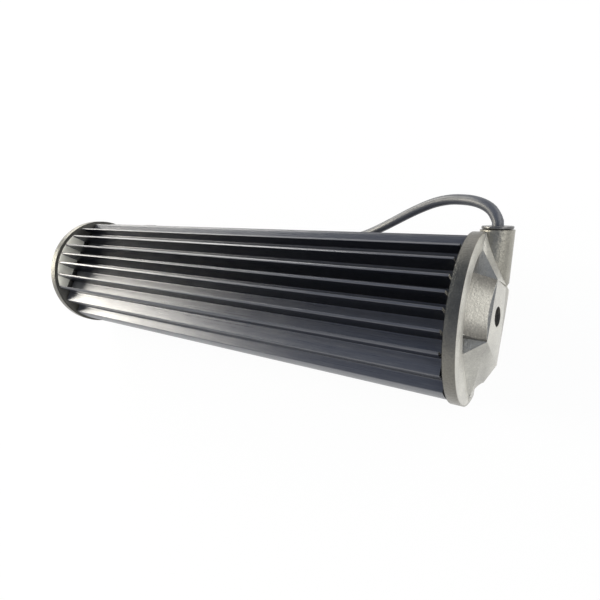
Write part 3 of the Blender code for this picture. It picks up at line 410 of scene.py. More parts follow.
bush = skinned(
    "grommet_rubber", (0.035, 0.035, 0.037), (0.075, 0.073, 0.070), 0.16, 0.28,
    0.0006, 0.008, 0.12, Specular_IOR_Level=1.0,
)
grip = CORD_RADIUS + 0.0001
grommet_profile = rounded(
    [
        (grip, COLLAR_TOP - 0.0001), (COLLAR_RADIUS, COLLAR_TOP), (COLLAR_RADIUS, COLLAR_FACE),
        (SLEEVE_RADIUS, COLLAR_FACE), (SLEEVE_RADIUS, SLEEVE_END), (grip, SLEEVE_END),
    ],
    0.0006, 4,
)
grommet = show(
    "grommet",
    lathe_mesh("grommet", grommet_profile, GLAND_END, GLAND_WAY, 64, True),
    bush, 50,
)
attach(grommet, "root")
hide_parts("cord_grommet")


# Two-pin plug
# A black nylon shell with a ribbed grip, a grey silicone seal round the cord and
# two brass pins in its open nose.
PLUG_START = -0.1050
PLUG_LENGTH = 0.025
SOCKET_DEPTH = 0.011
SHELL_RADIUS = 0.0064
GRIP_RADIUS = 0.0059
GROOVE_SPACING = 0.003
SOCKET_RADIUS = 0.0050
SEAL_START = -0.0960
SEAL_LENGTH = 0.0086
PIN_RADIUS = 0.00075
PIN_LENGTH = 0.0090
PIN_ACROSS = 0.003

nylon = skinned(
    "plug_nylon", (0.018, 0.018, 0.019), (0.032, 0.032, 0.033), 0.32, 0.46,
    0.0003, 0.009, 0.2,
)
floor_at = PLUG_LENGTH - SOCKET_DEPTH
groove = ((0.0, 0.0), (0.0006, 0.0003), (0.0006, 0.0015), (0.0, 0.0018))
shell_corners = [(0.0040, 0.0), (GRIP_RADIUS, 0.0)]
for number in (1, 2, 3):
    shell_corners += [
        (GRIP_RADIUS - deeper, GROOVE_SPACING * number + further) for deeper, further in groove
    ]
shell_corners += [
    (GRIP_RADIUS, floor_at), (SHELL_RADIUS, floor_at + 0.0006), (SHELL_RADIUS, PLUG_LENGTH),
    (SOCKET_RADIUS, PLUG_LENGTH), (SOCKET_RADIUS, floor_at), (0.0030, floor_at),
]
shell_profile = [(0.0, 0.0), *rounded(shell_corners, 0.0004, 3, False), (0.0, floor_at)]
plug_place = (PLUG_START, *PLUG_AXIS)
plug = show("plug", lathe_mesh("plug", shell_profile, plug_place, (-1, 0, 0), 56), nylon)
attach(plug, "root")
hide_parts("plug_body")

silicone = skinned(
    "plug_silicone", (0.13, 0.13, 0.135), (0.19, 0.19, 0.195), 0.5, 0.68, 0.0004, 0.006, 0.2,
)
seal_profile = rounded(
    [
        (grip, 0.0), (0.0036, 0.0), (0.0042, 0.0022), (0.0037, 0.0028), (0.0046, 0.0044),
        (0.0052, 0.0050), (0.0052, SEAL_LENGTH), (grip, SEAL_LENGTH),
    ],
    0.0004, 3,
)
seal = show(
    "cord_seal",
    lathe_mesh("cord_seal", seal_profile, (SEAL_START, *PLUG_AXIS), (-1, 0, 0), 48, True),
    silicone, 50,
)
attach(seal, "root")
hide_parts("plug_seal")

brass = skinned(
    "pin_brass", (0.62, 0.46, 0.20), (0.80, 0.64, 0.34), 0.2, 0.34, 0.0002, 0.003, 0.1, 1.0,
)
pin_corners = [
    (0.0004, 0.0), (PIN_RADIUS, 0.0), (PIN_RADIUS, PIN_LENGTH - 0.0001), (0.0003, PIN_LENGTH),
]
pin_profile = [(0.0, 0.0), *rounded(pin_corners, 0.0004, 4, False), (0.0, PIN_LENGTH)]
for number, side in enumerate((1, -1), 1):
    place = (PLUG_START - floor_at - 0.0003, PLUG_AXIS[0] + side * PIN_ACROSS, PLUG_AXIS[1])
    pin = show(f"pin_{number}", lathe_mesh("pin", pin_profile, place, (-1, 0, 0), 20), brass)
    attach(pin, "root")
    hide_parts(f"plug_pin_{number}")


# Housing
# One aluminium extrusion, anodised black: a barrel cut flat for the lens, a box
# for the driver at the back, and seven cooling fins whose tips lie on the barrel.
AXIS = 0.024
BARREL = 0.0386
HOUSING_END = 0.1395
FIN = 0.0014
FIN_SHARES = (0.613, 0.403, 0.183, 0.0, -0.183, -0.403, -0.613)
FIN_ROOT = 0.0012
BACK_WALL = 0.046
SHOULDER = 0.035
FRONT = 0.0008
LIP = (0.0258, 0.0027)
GROOVE = (0.0279, 0.0078)
NECK = (0.0260, 0.0155)
WALL = 0.0022
WEB = 0.0275
CHAMBER_HALF = 0.0295
CHAMBER_FLOOR = 0.0315
CHAMBER_ROOF = 0.043


def barrel_arc(radius, low, high, steps):
    """Points up the barrel's positive side between two heights."""
    first = math.asin((low - AXIS) / radius)
    last = math.asin((high - AXIS) / radius)
    angles = [first + (last - first) * step / steps for step in range(steps + 1)]
    return [(radius * math.cos(a), AXIS + radius * math.sin(a)) for a in angles]


def housing_section():
    """The outline with its small radii, from the positive side over the fins and round."""
    box_half = math.sqrt(BARREL ** 2 - (BACK_WALL - AXIS) ** 2)
    fins = []
    for share in FIN_SHARES:
        middle = share * BARREL
        high, low = middle + FIN / 2, middle - FIN / 2
        tips = [AXIS + math.sqrt(BARREL ** 2 - edge ** 2) for edge in (high, low)]
        fins += rounded(
            [
                (high + FIN_ROOT, BACK_WALL), (high, BACK_WALL), (high, tips[0]),
                (low, tips[1]), (low, BACK_WALL), (low - FIN_ROOT, BACK_WALL),
            ],
            0.0005, 3, False,
        )
    side = barrel_arc(BARREL, FRONT, SHOULDER, 40)
    shoulder = rounded(
        [
            side[-2], side[-1], (box_half, SHOULDER), (box_half, BACK_WALL),
            (box_half - 0.0030, BACK_WALL),
        ],
        0.0010, 4, False,
    )
    near = side[:-2] + shoulder
    inside = [
        (LIP[0], FRONT), LIP, (GROOVE[0], LIP[1]), GROOVE, (NECK[0], GROOVE[1]), NECK,
    ] + barrel_arc(BARREL - WALL, NECK[1], WEB, 10)
    far = [(-y, z) for y, z in reversed(near)]
    far_inside = [(-y, z) for y, z in inside]
    return near + fins + far + far_inside + inside[::-1]


def loops_mesh(name, loops):
    """Outlines drawn flat, as loops of edges for the extrusion to fill."""
    points = []
    edges = []
    for loop in loops:
        first = len(points)
        points += [(across, height, 0.0) for across, height in loop]
        edges += [
            (first + index, first + (index + 1) % len(loop)) for index in range(len(loop))
        ]
    mesh = bpy.data.meshes.new(name)
    mesh.from_pydata(points, edges, [])
    return mesh


def start_tree(name, inputs):
    """An empty geometry tree with its named inputs."""
    tree = bpy.data.node_groups.new(name, "GeometryNodeTree")
    for label, kind in (("Geometry", "Geometry"), *inputs, ("Finish", "Material")):
        tree.interface.new_socket(label, in_out="INPUT", socket_type=f"NodeSocket{kind}")
    tree.interface.new_socket("Geometry", in_out="OUTPUT", socket_type="NodeSocketGeometry")
    return tree, tree.nodes.new("NodeGroupInput").outputs


def end_tree(tree, given, geometry):
    """Real geometry with its finish, as what a tree gives out."""
    end = tree.nodes.new("NodeGroupOutput")
    real = add(tree, "GeometryNodeRealizeInstances", {"Geometry": geometry})
    painted = add(
        tree, "GeometryNodeSetMaterial",
        {"Geometry": real.outputs[0], "Material": given["Finish"]},
    )
    tree.links.new(painted.outputs[0], end.inputs[0])
    return tree


def build_extrusion_tree():
    """Fills flat outlines and draws them out along X, as the press does."""
    tree, given = start_tree("extrusion", (("Start", "Float"), ("Length", "Float")))
    drawn = add(tree, "GeometryNodeMeshToCurve", {"Mesh": given["Geometry"]})
    filled = add(tree, "GeometryNodeFillCurve", {"Curve": drawn.outputs[0]})
    way = add(tree, "ShaderNodeCombineXYZ", {"Z": 1.0})
    pulled = add(
        tree, "GeometryNodeExtrudeMesh",
        {
            "Mesh": filled.outputs[0], "Offset": way.outputs[0],
            "Offset Scale": given["Length"], "Individual": False,
        },
    )
    back = add(tree, "GeometryNodeFlipFaces", {"Mesh": filled.outputs[0]})
    whole = tree.nodes.new("GeometryNodeJoinGeometry")
    tree.links.new(pulled.outputs["Mesh"], whole.inputs[0])
    tree.links.new(back.outputs[0], whole.inputs[0])
    merged = add(
        tree, "GeometryNodeMergeByDistance", {"Geometry": whole.outputs[0], "Distance": 1e-6}
    )
    place = add(tree, "ShaderNodeCombineXYZ", {"X": given["Start"]})
    turned = add(
        tree, "GeometryNodeTransform",
        {
            "Geometry": merged.outputs[0], "Translation": place.outputs[0],
            "Rotation": (math.pi / 2, 0.0, math.pi / 2),
        },
    )
    return end_tree(tree, given, turned.outputs[0])


extrusion = build_extrusion_tree()


def settled(stand, *tools):
    """The mesh that an object's modifiers make. The object and its tools are removed."""
    bpy.context.view_layer.update()
    seen = stand.evaluated_get(bpy.context.evaluated_depsgraph_get())
    mesh = bpy.data.meshes.new_from_object(seen)
    for thing in (stand, *tools):
        bpy.data.objects.remove(thing, do_unlink=True)
    return mesh


def run_tree(tree, host, values):
    """The mesh that a geometry tree makes of a host mesh, with its inputs by name."""
    stand = placed(host.name, host)
    change = stand.modifiers.new("tree", "NODES")
    change.node_group = tree
    for item in tree.interface.items_tree:
        if item.in_out == "INPUT" and item.name in values:
            change[item.identifier] = values[item.name]
    mesh = settled(stand)
    mesh.name = host.name
    return mesh


def extruded(name, loops, start, length, finish):
    """Outlines drawn out along X from a start."""
    return run_tree(
        extrusion, loops_mesh(name, loops), {"Start": start, "Length": length, "Finish": finish}
    )


def vectors(tree, kind, first, second=(0.0, 0.0, 0.0)):
    """The outcome of a step on two vectors or sockets."""
    made = add(tree, "ShaderNodeVectorMath", {0: first, 1: second}, operation=kind)
    return made.outputs["Value" if kind == "LENGTH" else "Vector"]


def build_die_group():
    """Lines that the die leaves along an extrusion, coarse and fine, as two masks."""
    group, given, masks = new_group(
        "die lines",
        (("Place", VECTOR, None), ("Line width", NUMBER, 0.0006)),
        ("Lines", "Fine lines"),
    )
    for label, along, factor in (("Lines", 0.004, 1.0), ("Fine lines", 0.03, 2.6)):
        drawn = vectors(group, "MULTIPLY", given["Place"], (along, 1.0, 1.0))
        scale = maths(group, "DIVIDE", factor, given["Line width"])
        noise = add(
            group, "ShaderNodeTexNoise",
            {"Vector": drawn, "Scale": scale, "Detail": 4.0, "Roughness": 0.6},
        )
        group.links.new(noise.outputs["Fac"], masks[label])
    return group


die_lines = build_die_group()


def parts(tree, vector):
    """A vector's three parts."""
    return add(tree, "ShaderNodeSeparateXYZ", {0: vector}).outputs


def facing(tree):
    """How squarely a surface faces along each axis, either way."""
    normal = add(tree, "ShaderNodeNewGeometry").outputs["Normal"]
    return parts(tree, vectors(tree, "ABSOLUTE", normal))


def tinted(tree, colour, mask, tint, blend="MULTIPLY"):
    """A colour with a tint over it where a mask says so."""
    made = add(
        tree, "ShaderNodeMix", {0: mask, 6: colour, 7: tint}, data_type="RGBA", blend_type=blend
    )
    return made.outputs[2]


def anodised_finish():
    """Black anodising that shows the die's lines, with painted shade on the sides of the fins."""
    finish, tree, shader = new_finish("black_anodising", 0.34, 0.7, Specular_IOR_Level=0.5)
    place = add(tree, "ShaderNodeTexCoord").outputs["Object"]
    lines = add(tree, "ShaderNodeGroup", {"Place": place}, node_tree=die_lines).outputs
    skin = skin_masks(tree, place, 0.00035, 0.03)
    colour = ramp(
        tree, lines["Fine lines"],
        (0.3, (0.092, 0.096, 0.112)), (0.55, (0.118, 0.122, 0.136)), (0.75, (0.155, 0.157, 0.166)),
    )
    # Painted shade: the upright sides of the fins, above the back wall, are darkened with a blue
    # tint.
    upright = spread(tree, facing(tree)["Y"], 0.0, 1.0, 0.8, 0.95)
    among_fins = maths(tree, "GREATER_THAN", parts(tree, place)["Z"], BACK_WALL + 0.0004)
    fin_side_shade = maths(tree, "MULTIPLY", upright, among_fins)
    rough = maths(
        tree, "ADD", spread(tree, lines["Lines"], 0.26, 0.38),
        spread(tree, skin["Smudge"], -0.03, 0.05),
    )
    fine = relief(tree, skin["Grain"], 0.12, 0.0002)
    feed(
        tree, shader,
        {
            "Base Color": tinted(tree, colour, fin_side_shade, (0.36, 0.38, 0.46, 1.0)),
            "Roughness": rough,
            "Normal": relief(tree, lines["Fine lines"], 0.25, 0.00015, Normal=fine),
        },
    )
    return finish


anodised = anodised_finish()
chamber = rounded(
    [
        (-CHAMBER_HALF, CHAMBER_FLOOR), (CHAMBER_HALF, CHAMBER_FLOOR),
        (CHAMBER_HALF, CHAMBER_ROOF), (-CHAMBER_HALF, CHAMBER_ROOF),
    ],
    0.001,
)
housing = show(
    "finned_housing",
    extruded(
        "finned_housing", [housing_section(), chamber], -HOUSING_END, 2 * HOUSING_END, anodised
    ),
    anodised, 30,
)
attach(housing, "root")
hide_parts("housing")


# Lens
# A flat sheet of clear polycarbonate, 3 mm thick, slid into the housing's grooves
# from one end and held under its lips.
LENS_END = 0.1392
LENS_HALF = 0.0276
LENS_FACE = 0.0030
LENS_BACK = 0.0060


def softened(mesh, width):
    """Every sharp edge of a mesh rounded over."""
    body = bmesh.new()
    body.from_mesh(mesh)
    bmesh.ops.remove_doubles(body, verts=body.verts, dist=2e-6)
    bmesh.ops.dissolve_limit(
        body, angle_limit=math.radians(0.8), verts=body.verts, edges=body.edges
    )
    body.to_mesh(mesh)
    body.free()
    stand = placed("soft", mesh)
    change = stand.modifiers.new("edge", "BEVEL")
    change.width = width
    change.segments = 3
    change.limit_method = "ANGLE"
    change.angle_limit = math.radians(28)
    change.use_clamp_overlap = True
    change.miter_outer = "MITER_ARC"
    return settled(stand)


def soft_block(name, low, high, width):
    """A block between two corners, with its edges rounded over."""
    body = bmesh.new()
    bmesh.ops.create_cube(body, size=1.0)
    for vertex in body.verts:
        vertex.co = Vector([low[i] if vertex.co[i] < 0 else high[i] for i in range(3)])
    return softened(finished_mesh(name, body), width)


polycarbonate = skinned(
    "clear_polycarbonate", (0.86, 0.89, 0.89), (0.93, 0.95, 0.95), 0.02, 0.07, 0.0004, 0.03,
    0.04, Transmission_Weight=1.0, IOR=1.58,
)
lens = show(
    "lens",
    soft_block(
        "lens", (-LENS_END, -LENS_HALF, LENS_FACE), (LENS_END, LENS_HALF, LENS_BACK), 0.0004
    ),
    polycarbonate,
)
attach(lens, "root")
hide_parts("lens")


# Lens seal
# A thin frame of black rubber between the lens and the housing's neck. It keeps
# its plain shape.


def paint(names, finish):
    """A finish on pieces that keep their shape from the frame."""
    for name in names:
        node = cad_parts[name]
        node.data.materials.clear()
        node.data.materials.append(finish)


seal_rubber = skinned(
    "seal_rubber", (0.016, 0.016, 0.017), (0.032, 0.032, 0.033), 0.6, 0.8, 0.0005, 0.01, 0.3,
)
paint(["lens_seal"], seal_rubber)


# Reflectors
# Two moulded trays with a bright vacuum coating, end to end behind the lens, with
# twelve paraboloid cups in each. They rest on the lens and under the LED board.
TRAY_BOTTOM = 0.0063
TRAY_TOP = 0.0253
TRAY_HALF = 0.0257
TRAY_END = 0.1373
CUP_SPACING = 0.0229
CUP_ROW = 0.01285
CUP_DEPTH = 0.018
CUP_HOLE = 0.0034
CUP_MOUTH = 0.0106


def carve(body, tools, operation):
    """A mesh joined to others or cut by them."""
    stand = placed("casting", body)
    used = []
    for tool in tools:
        other = placed("tool", tool)
        change = stand.modifiers.new("change", "BOOLEAN")
        change.operation = operation
        change.solver = "EXACT"
        change.object = other
        used.append(other)
    return settled(stand, *used)


def build_grid_tree():
    """Copies of one thing on a grid of columns along X and rows along Y."""
    tree, given = start_tree(
        "copies on a grid",
        (
            ("Columns", "Int"), ("Rows", "Int"), ("Column spacing", "Float"),
            ("Row spacing", "Float"),
        ),
    )
    sizes = []
    for count, spacing in (("Columns", "Column spacing"), ("Rows", "Row spacing")):
        steps = maths(tree, "SUBTRACT", given[count], 1.0)
        sizes.append(maths(tree, "MULTIPLY", steps, given[spacing]))
    grid = add(
        tree, "GeometryNodeMeshGrid",
        {
            "Size X": sizes[0], "Size Y": sizes[1],
            "Vertices X": given["Columns"], "Vertices Y": given["Rows"],
        },
    )
    copies = add(
        tree, "GeometryNodeInstanceOnPoints",
        {"Points": grid.outputs["Mesh"], "Instance": given["Geometry"]},
    )
    return end_tree(tree, given, copies.outputs[0])


copies_on_grid = build_grid_tree()


def at_cups(mesh, columns, finish):
    """Copies of a mesh at the cups' spacing, in two rows round the middle."""
    return run_tree(
        copies_on_grid, mesh,
        {
            "Columns": columns, "Rows": 2, "Column spacing": CUP_SPACING,
            "Row spacing": 2 * CUP_ROW, "Finish": finish,
        },
    )


chrome = skinned(
    "vacuum_coating", (0.80, 0.81, 0.82), (0.90, 0.905, 0.91), 0.05, 0.14, 0.0006, 0.02, 0.06,
    1.0,
)
cup_profile = [(0.0, CUP_DEPTH + 0.002), (CUP_HOLE, CUP_DEPTH + 0.002)]
for ring in range(19):
    share = ring / 18
    across = math.sqrt(CUP_HOLE ** 2 * (1 - share) + CUP_MOUTH ** 2 * share)
    cup_profile.append((across, CUP_DEPTH * (1 - share)))
cup_profile += [
    (CUP_MOUTH + 0.0002, -0.0002), (CUP_MOUTH + 0.0002, -0.001), (0.0, -0.001),
]
for name, side in (("reflector_gland_side", 1), ("reflector_plain_side", -1)):
    cups = at_cups(lathe_mesh("cup", cup_profile, (0, 0, 0), (0, 0, 1), 64), 6, chrome)
    cups.transform(Matrix.Translation((side * 3 * CUP_SPACING, 0, TRAY_BOTTOM)))
    low, high = sorted((side * 0.00015, side * TRAY_END))
    tray = soft_block(
        name, (low, -TRAY_HALF, TRAY_BOTTOM), (high, TRAY_HALF, TRAY_TOP), 0.0004
    )
    tray = show(f"{name}_tray", carve(tray, [cups], "DIFFERENCE"), chrome, 30)
    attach(tray, "root")
    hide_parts(name)


# LED board
# A white board on an aluminium core, screwed to the housing's web with six zinc
# plated screws. Both keep their plain shapes behind the reflectors.
solder_mask = skinned(
    "white_solder_mask", (0.72, 0.73, 0.70), (0.85, 0.86, 0.83), 0.32, 0.5, 0.0005, 0.02, 0.1,
)
paint(["led_board"], solder_mask)
zinc = skinned(
    "zinc_plating", (0.50, 0.50, 0.47), (0.70, 0.69, 0.66), 0.22, 0.4, 0.0003, 0.004, 0.15, 1.0,
)
paint([f"board_screw_{number}" for number in range(1, 7)], zinc)


# LEDs
# Two rows of twelve. Each is a white ceramic carrier soldered to the board, with a
# yellow phosphor under a clear dome that points at the lens.
CARRIER_HALF = 0.00175
CARRIER_DEPTH = 0.0008
DOME_RADIUS = 0.0014
DOME_SEAT = 0.00065
ceramic = skinned(
    "led_ceramic", (0.78, 0.78, 0.75), (0.90, 0.90, 0.87), 0.35, 0.5, 0.0002, 0.003, 0.1,
)
phosphor = skinned(
    "led_phosphor", (0.78, 0.58, 0.06), (0.92, 0.75, 0.16), 0.4, 0.55, 0.0002, 0.002, 0.1,
    Coat_Weight=1.0, Coat_Roughness=0.03,
)
carrier = soft_block(
    "carrier", (-CARRIER_HALF, -CARRIER_HALF, -CARRIER_DEPTH), (CARRIER_HALF, CARRIER_HALF, 0.0),
    0.0002,
)
dome_profile = []
for step in range(15):
    angle = math.pi / 2 * step / 14
    dome_profile.append(
        (DOME_RADIUS * math.sin(angle), -DOME_SEAT - DOME_RADIUS * math.cos(angle))
    )
dome_profile.append((0.0, -DOME_SEAT))
dome = lathe_mesh("dome", dome_profile, (0, 0, 0), (0, 0, 1), 40)
for name, part, finish in (("led_carriers", carrier, ceramic), ("led_domes", dome, phosphor)):
    leds = at_cups(part, 12, finish)
    leds.transform(Matrix.Translation((0, 0, TRAY_TOP)))
    leds = show(name, leds, finish)
    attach(leds, "root")
    if part is carrier:
        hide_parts(*[f"led_{number:02d}" for number in range(1, 25)])


# Driver
# The supply's circuit board in the rear chamber, with a wound inductor, two
# capacitors, a controller chip and a terminal block. It can't be seen when the
# bar is closed, and it keeps its plain shapes.
paint(
    ["driver_board"],
    skinned(
        "green_solder_mask", (0.015, 0.10, 0.04), (0.04, 0.18, 0.08), 0.3, 0.5, 0.0006, 0.01, 0.2
    ),
)
paint(
    ["driver_inductor"],
    skinned("ferrite", (0.035, 0.035, 0.038), (0.075, 0.075, 0.08), 0.5, 0.7, 0.0004, 0.004, 0.4),
)
paint(
    ["driver_capacitor_1", "driver_capacitor_2"],
    skinned(
        "capacitor_sleeve", (0.02, 0.035, 0.13), (0.04, 0.06, 0.19), 0.25, 0.4, 0.0003, 0.006, 0.1
    ),
)
paint(
    ["driver_chip"],
    skinned("chip_epoxy", (0.014, 0.014, 0.015), (0.03, 0.03, 0.03), 0.45, 0.6, 0.0002, 0.003, 0.3),
)
paint(
    ["driver_terminal"],
    skinned(
        "terminal_nylon", (0.03, 0.20, 0.07), (0.06, 0.30, 0.12), 0.35, 0.5, 0.0004, 0.005, 0.2
    ),
)


# Wires inside the bar
# Two supply wires from the cord's end to the terminal block, and two from the
# driver through the web to the LED board, in red and black insulation. They keep
# their plain shapes.
red_wire = skinned(
    "red_insulation", (0.38, 0.012, 0.012), (0.56, 0.03, 0.03), 0.3, 0.45, 0.0005, 0.006, 0.15,
)
black_wire = skinned(
    "black_insulation", (0.014, 0.014, 0.015), (0.03, 0.03, 0.031), 0.3, 0.45, 0.0005, 0.006,
    0.15,
)
paint(["supply_wire_positive", "led_wire_positive"], red_wire)
paint(["supply_wire_negative", "led_wire_negative"], black_wire)


# End gaskets
# Flat rubber sheets of 1 mm in the housing's outline, with one wide opening and two
# screw holes, clamped under the end caps. Only their edges show.
paint(["gland_end_gasket", "plain_end_gasket"], seal_rubber)


# End caps
# Two aluminium castings with a fine powder coat in grey. Each has a flat rim, a
# raised boss with a blind M8 hole for the bracket, and a pocket with a ramp behind
# it. The one at the near end also has the tube of the cable gland.
CAP = 0.040
CAP_INNER = 0.1411
CAP_FACE = 0.1463
BOSS = 0.0100
BOSS_REAR = 0.0084
BOLT_LEVEL = 0.0335
BOLT_RADIUS = 0.00425
POCKET_ENDS = (-0.0203, 0.0274)
POCKET_SHIFT = 0.003
POCKET_RADIUS = 0.0297
POCKET_DEPTH = 0.0025
POCKET_FLOOR = 0.0425
OVERLAP = 0.0001
RAMP_HALF = 0.0135
SCREW_ACROSS = 0.0305
SCREW_LEVEL = 0.012
SEAT_DEPTH = 0.0027
TUBE_RADIUS = 0.00735
BORE_RADIUS = 0.005


def prism_mesh(name, outline, first, last):
    """An outline drawn out along X between two places."""
    low, high = sorted((first, last))
    return extruded(name, [outline], low, high - low, None)


def hull_mesh(name, points):
    """The convex solid round a set of points."""
    body = bmesh.new()
    for point in points:
        body.verts.new(point)
    made = bmesh.ops.convex_hull(body, input=body.verts)
    inside = [item for item in made["geom_interior"] if isinstance(item, bmesh.types.BMVert)]
    bmesh.ops.delete(body, geom=inside, context="VERTS")
    bmesh.ops.dissolve_limit(
        body, angle_limit=math.radians(0.5), verts=body.verts, edges=body.edges
    )
    return finished_mesh(name, body)


def rod_mesh(name, start, end, radius, sides=64):
    """A plain round rod between two points."""
    run = Vector(end) - Vector(start)
    profile = [(0.0, 0.0), (radius, 0.0), (radius, run.length), (0.0, run.length)]
    return lathe_mesh(name, profile, start, run.normalized(), sides)


def patch_mesh(first, second, third, fourth, floor, steps=8, dish=0.0):
    """A solid under a smooth four-cornered face, down to a floor across X. The face can
    be dished along its rows, by so much in the middle."""
    first, second, third, fourth = (Vector(corner) for corner in (first, second, third, fourth))
    body = bmesh.new()
    sheets = []
    for flat in (False, True):
        sheet = []
        for row in range(steps + 1):
            start = first.lerp(second, row / steps)
            end = fourth.lerp(third, row / steps)
            line = []
            for column in range(steps + 1):
                spot = start.lerp(end, column / steps)
                depth = 4 * dish * row / steps * (1 - row / steps)
                line.append(body.verts.new((floor if flat else spot.x - depth, spot.y, spot.z)))
            sheet.append(line)
        sheets.append(sheet)
        for low, high in zip(sheet, sheet[1:]):
            for index in range(steps):
                body.faces.new((low[index], low[index + 1], high[index + 1], high[index]))
    top, bottom = sheets
    for line in (
        [(row[0], under[0]) for row, under in zip(top, bottom)],
        [(row[-1], under[-1]) for row, under in zip(top, bottom)],
        list(zip(top[0], bottom[0])), list(zip(top[-1], bottom[-1])),
    ):
        for (upper, lower), (next_upper, next_lower) in zip(line, line[1:]):
            body.faces.new((upper, next_upper, next_lower, lower))
    return finished_mesh("patch", body)


def cap_mesh(name, end, with_gland):
    """One casting. Heights count out from the rim's outer face."""
    def spot(height, across, level):
        return end * (CAP_FACE + height), across, level

    corner = math.asin(-AXIS / CAP)
    disc = []
    for step in range(121):
        angle = corner + (math.pi - 2 * corner) * step / 120
        disc.append((CAP * math.cos(angle), AXIS + CAP * math.sin(angle)))
    flange = prism_mesh(name, disc, end * CAP_INNER, end * CAP_FACE)

    left, right = POCKET_ENDS
    base = []
    for height in (-0.001, 0.0):
        base += [
            spot(height, right, POCKET_FLOOR), spot(height, left, POCKET_FLOOR),
            spot(height, 0.0365, 0.010), spot(height, -0.0365, 0.010),
        ]
    ramp_top = [spot(BOSS_REAR, RAMP_HALF, POCKET_FLOOR), spot(BOSS_REAR, -RAMP_HALF, POCKET_FLOOR)]
    boss = hull_mesh(
        "boss",
        base + ramp_top + [
            spot(BOSS, -0.011, 0.028), spot(BOSS, 0.015, 0.028),
            spot(BOSS, 0.018, 0.016), spot(BOSS, -0.018, 0.016),
        ],
    )
    first, last = (math.acos((across - POCKET_SHIFT) / POCKET_RADIUS) for across in (right, left))
    pocket = []
    for step in range(49):
        angle = first + (last - first) * step / 48
        across = POCKET_SHIFT + POCKET_RADIUS * math.cos(angle)
        pocket.append((across, AXIS + POCKET_RADIUS * math.sin(angle)))
    pocket = [point for point in pocket if point[1] > POCKET_FLOOR + OVERLAP]
    pocket += [(left, POCKET_FLOOR), (right, POCKET_FLOOR)]
    pocket = prism_mesh(
        "pocket", pocket, end * (CAP_FACE - POCKET_DEPTH), end * (CAP_FACE + BOSS + 0.001)
    )

    foot = POCKET_FLOOR + 0.8 * (BOSS_REAR + POCKET_DEPTH)
    ramp_mesh = patch_mesh(
        *ramp_top, spot(-POCKET_DEPTH, -RAMP_HALF, foot), spot(-POCKET_DEPTH, RAMP_HALF, foot),
        end * (CAP_FACE - 0.0035), 16, end * 0.0012,
    )
    back_block = hull_mesh(
        "ramp_back",
        [
            spot(height, across, level)
            for height in (BOSS_REAR - 0.001, -0.0035)
            for across in (-RAMP_HALF, RAMP_HALF)
            for level in (POCKET_FLOOR - 0.001, POCKET_FLOOR + OVERLAP)
        ],
    )

    body = carve(flange, [boss], "UNION")
    body = carve(body, [pocket], "DIFFERENCE")
    additions = [ramp_mesh, back_block]
    if with_gland:
        web = patch_mesh(
            spot(BOSS_REAR, RAMP_HALF, POCKET_FLOOR - OVERLAP),
            spot(0.0, right, POCKET_FLOOR - OVERLAP),
            spot(0.0004, 0.0355, 0.0420), spot(BOSS, 0.0165, 0.0277), CAP_FACE - 0.001,
        )
        body = carve(body, [web], "UNION")
        stem = [
            (0.0, -0.030), (0.0040, -0.030), (0.0069, -0.0238), (TUBE_RADIUS, 0.0), (0.0, 0.0),
        ]
        additions.append(lathe_mesh("stem", stem, GLAND_END, GLAND_WAY, 72))
    body = carve(body, additions, "UNION")
    cuts = [
        rod_mesh("bolt_hole", spot(-0.002, 0, BOLT_LEVEL), spot(0.02, 0, BOLT_LEVEL), BOLT_RADIUS)
    ]
    for across in (SCREW_ACROSS, -SCREW_ACROSS):
        for label, inner, outer, radius, sides in (
            ("seat", -SEAT_DEPTH, BOSS, 0.0041, 48), ("way", -0.008, 0.001, 0.0023, 32)
        ):
            ends = spot(inner, across, SCREW_LEVEL), spot(outer, across, SCREW_LEVEL)
            cuts.append(rod_mesh(label, *ends, radius, sides))
    if with_gland:
        inner, outer = GLAND_END - 0.027 * GLAND_WAY, GLAND_END + 0.004 * GLAND_WAY
        cuts.append(rod_mesh("bore", inner, outer, BORE_RADIUS))
    body = carve(body, cuts, "DIFFERENCE")
    body.name = name
    return softened(body, 0.00055)


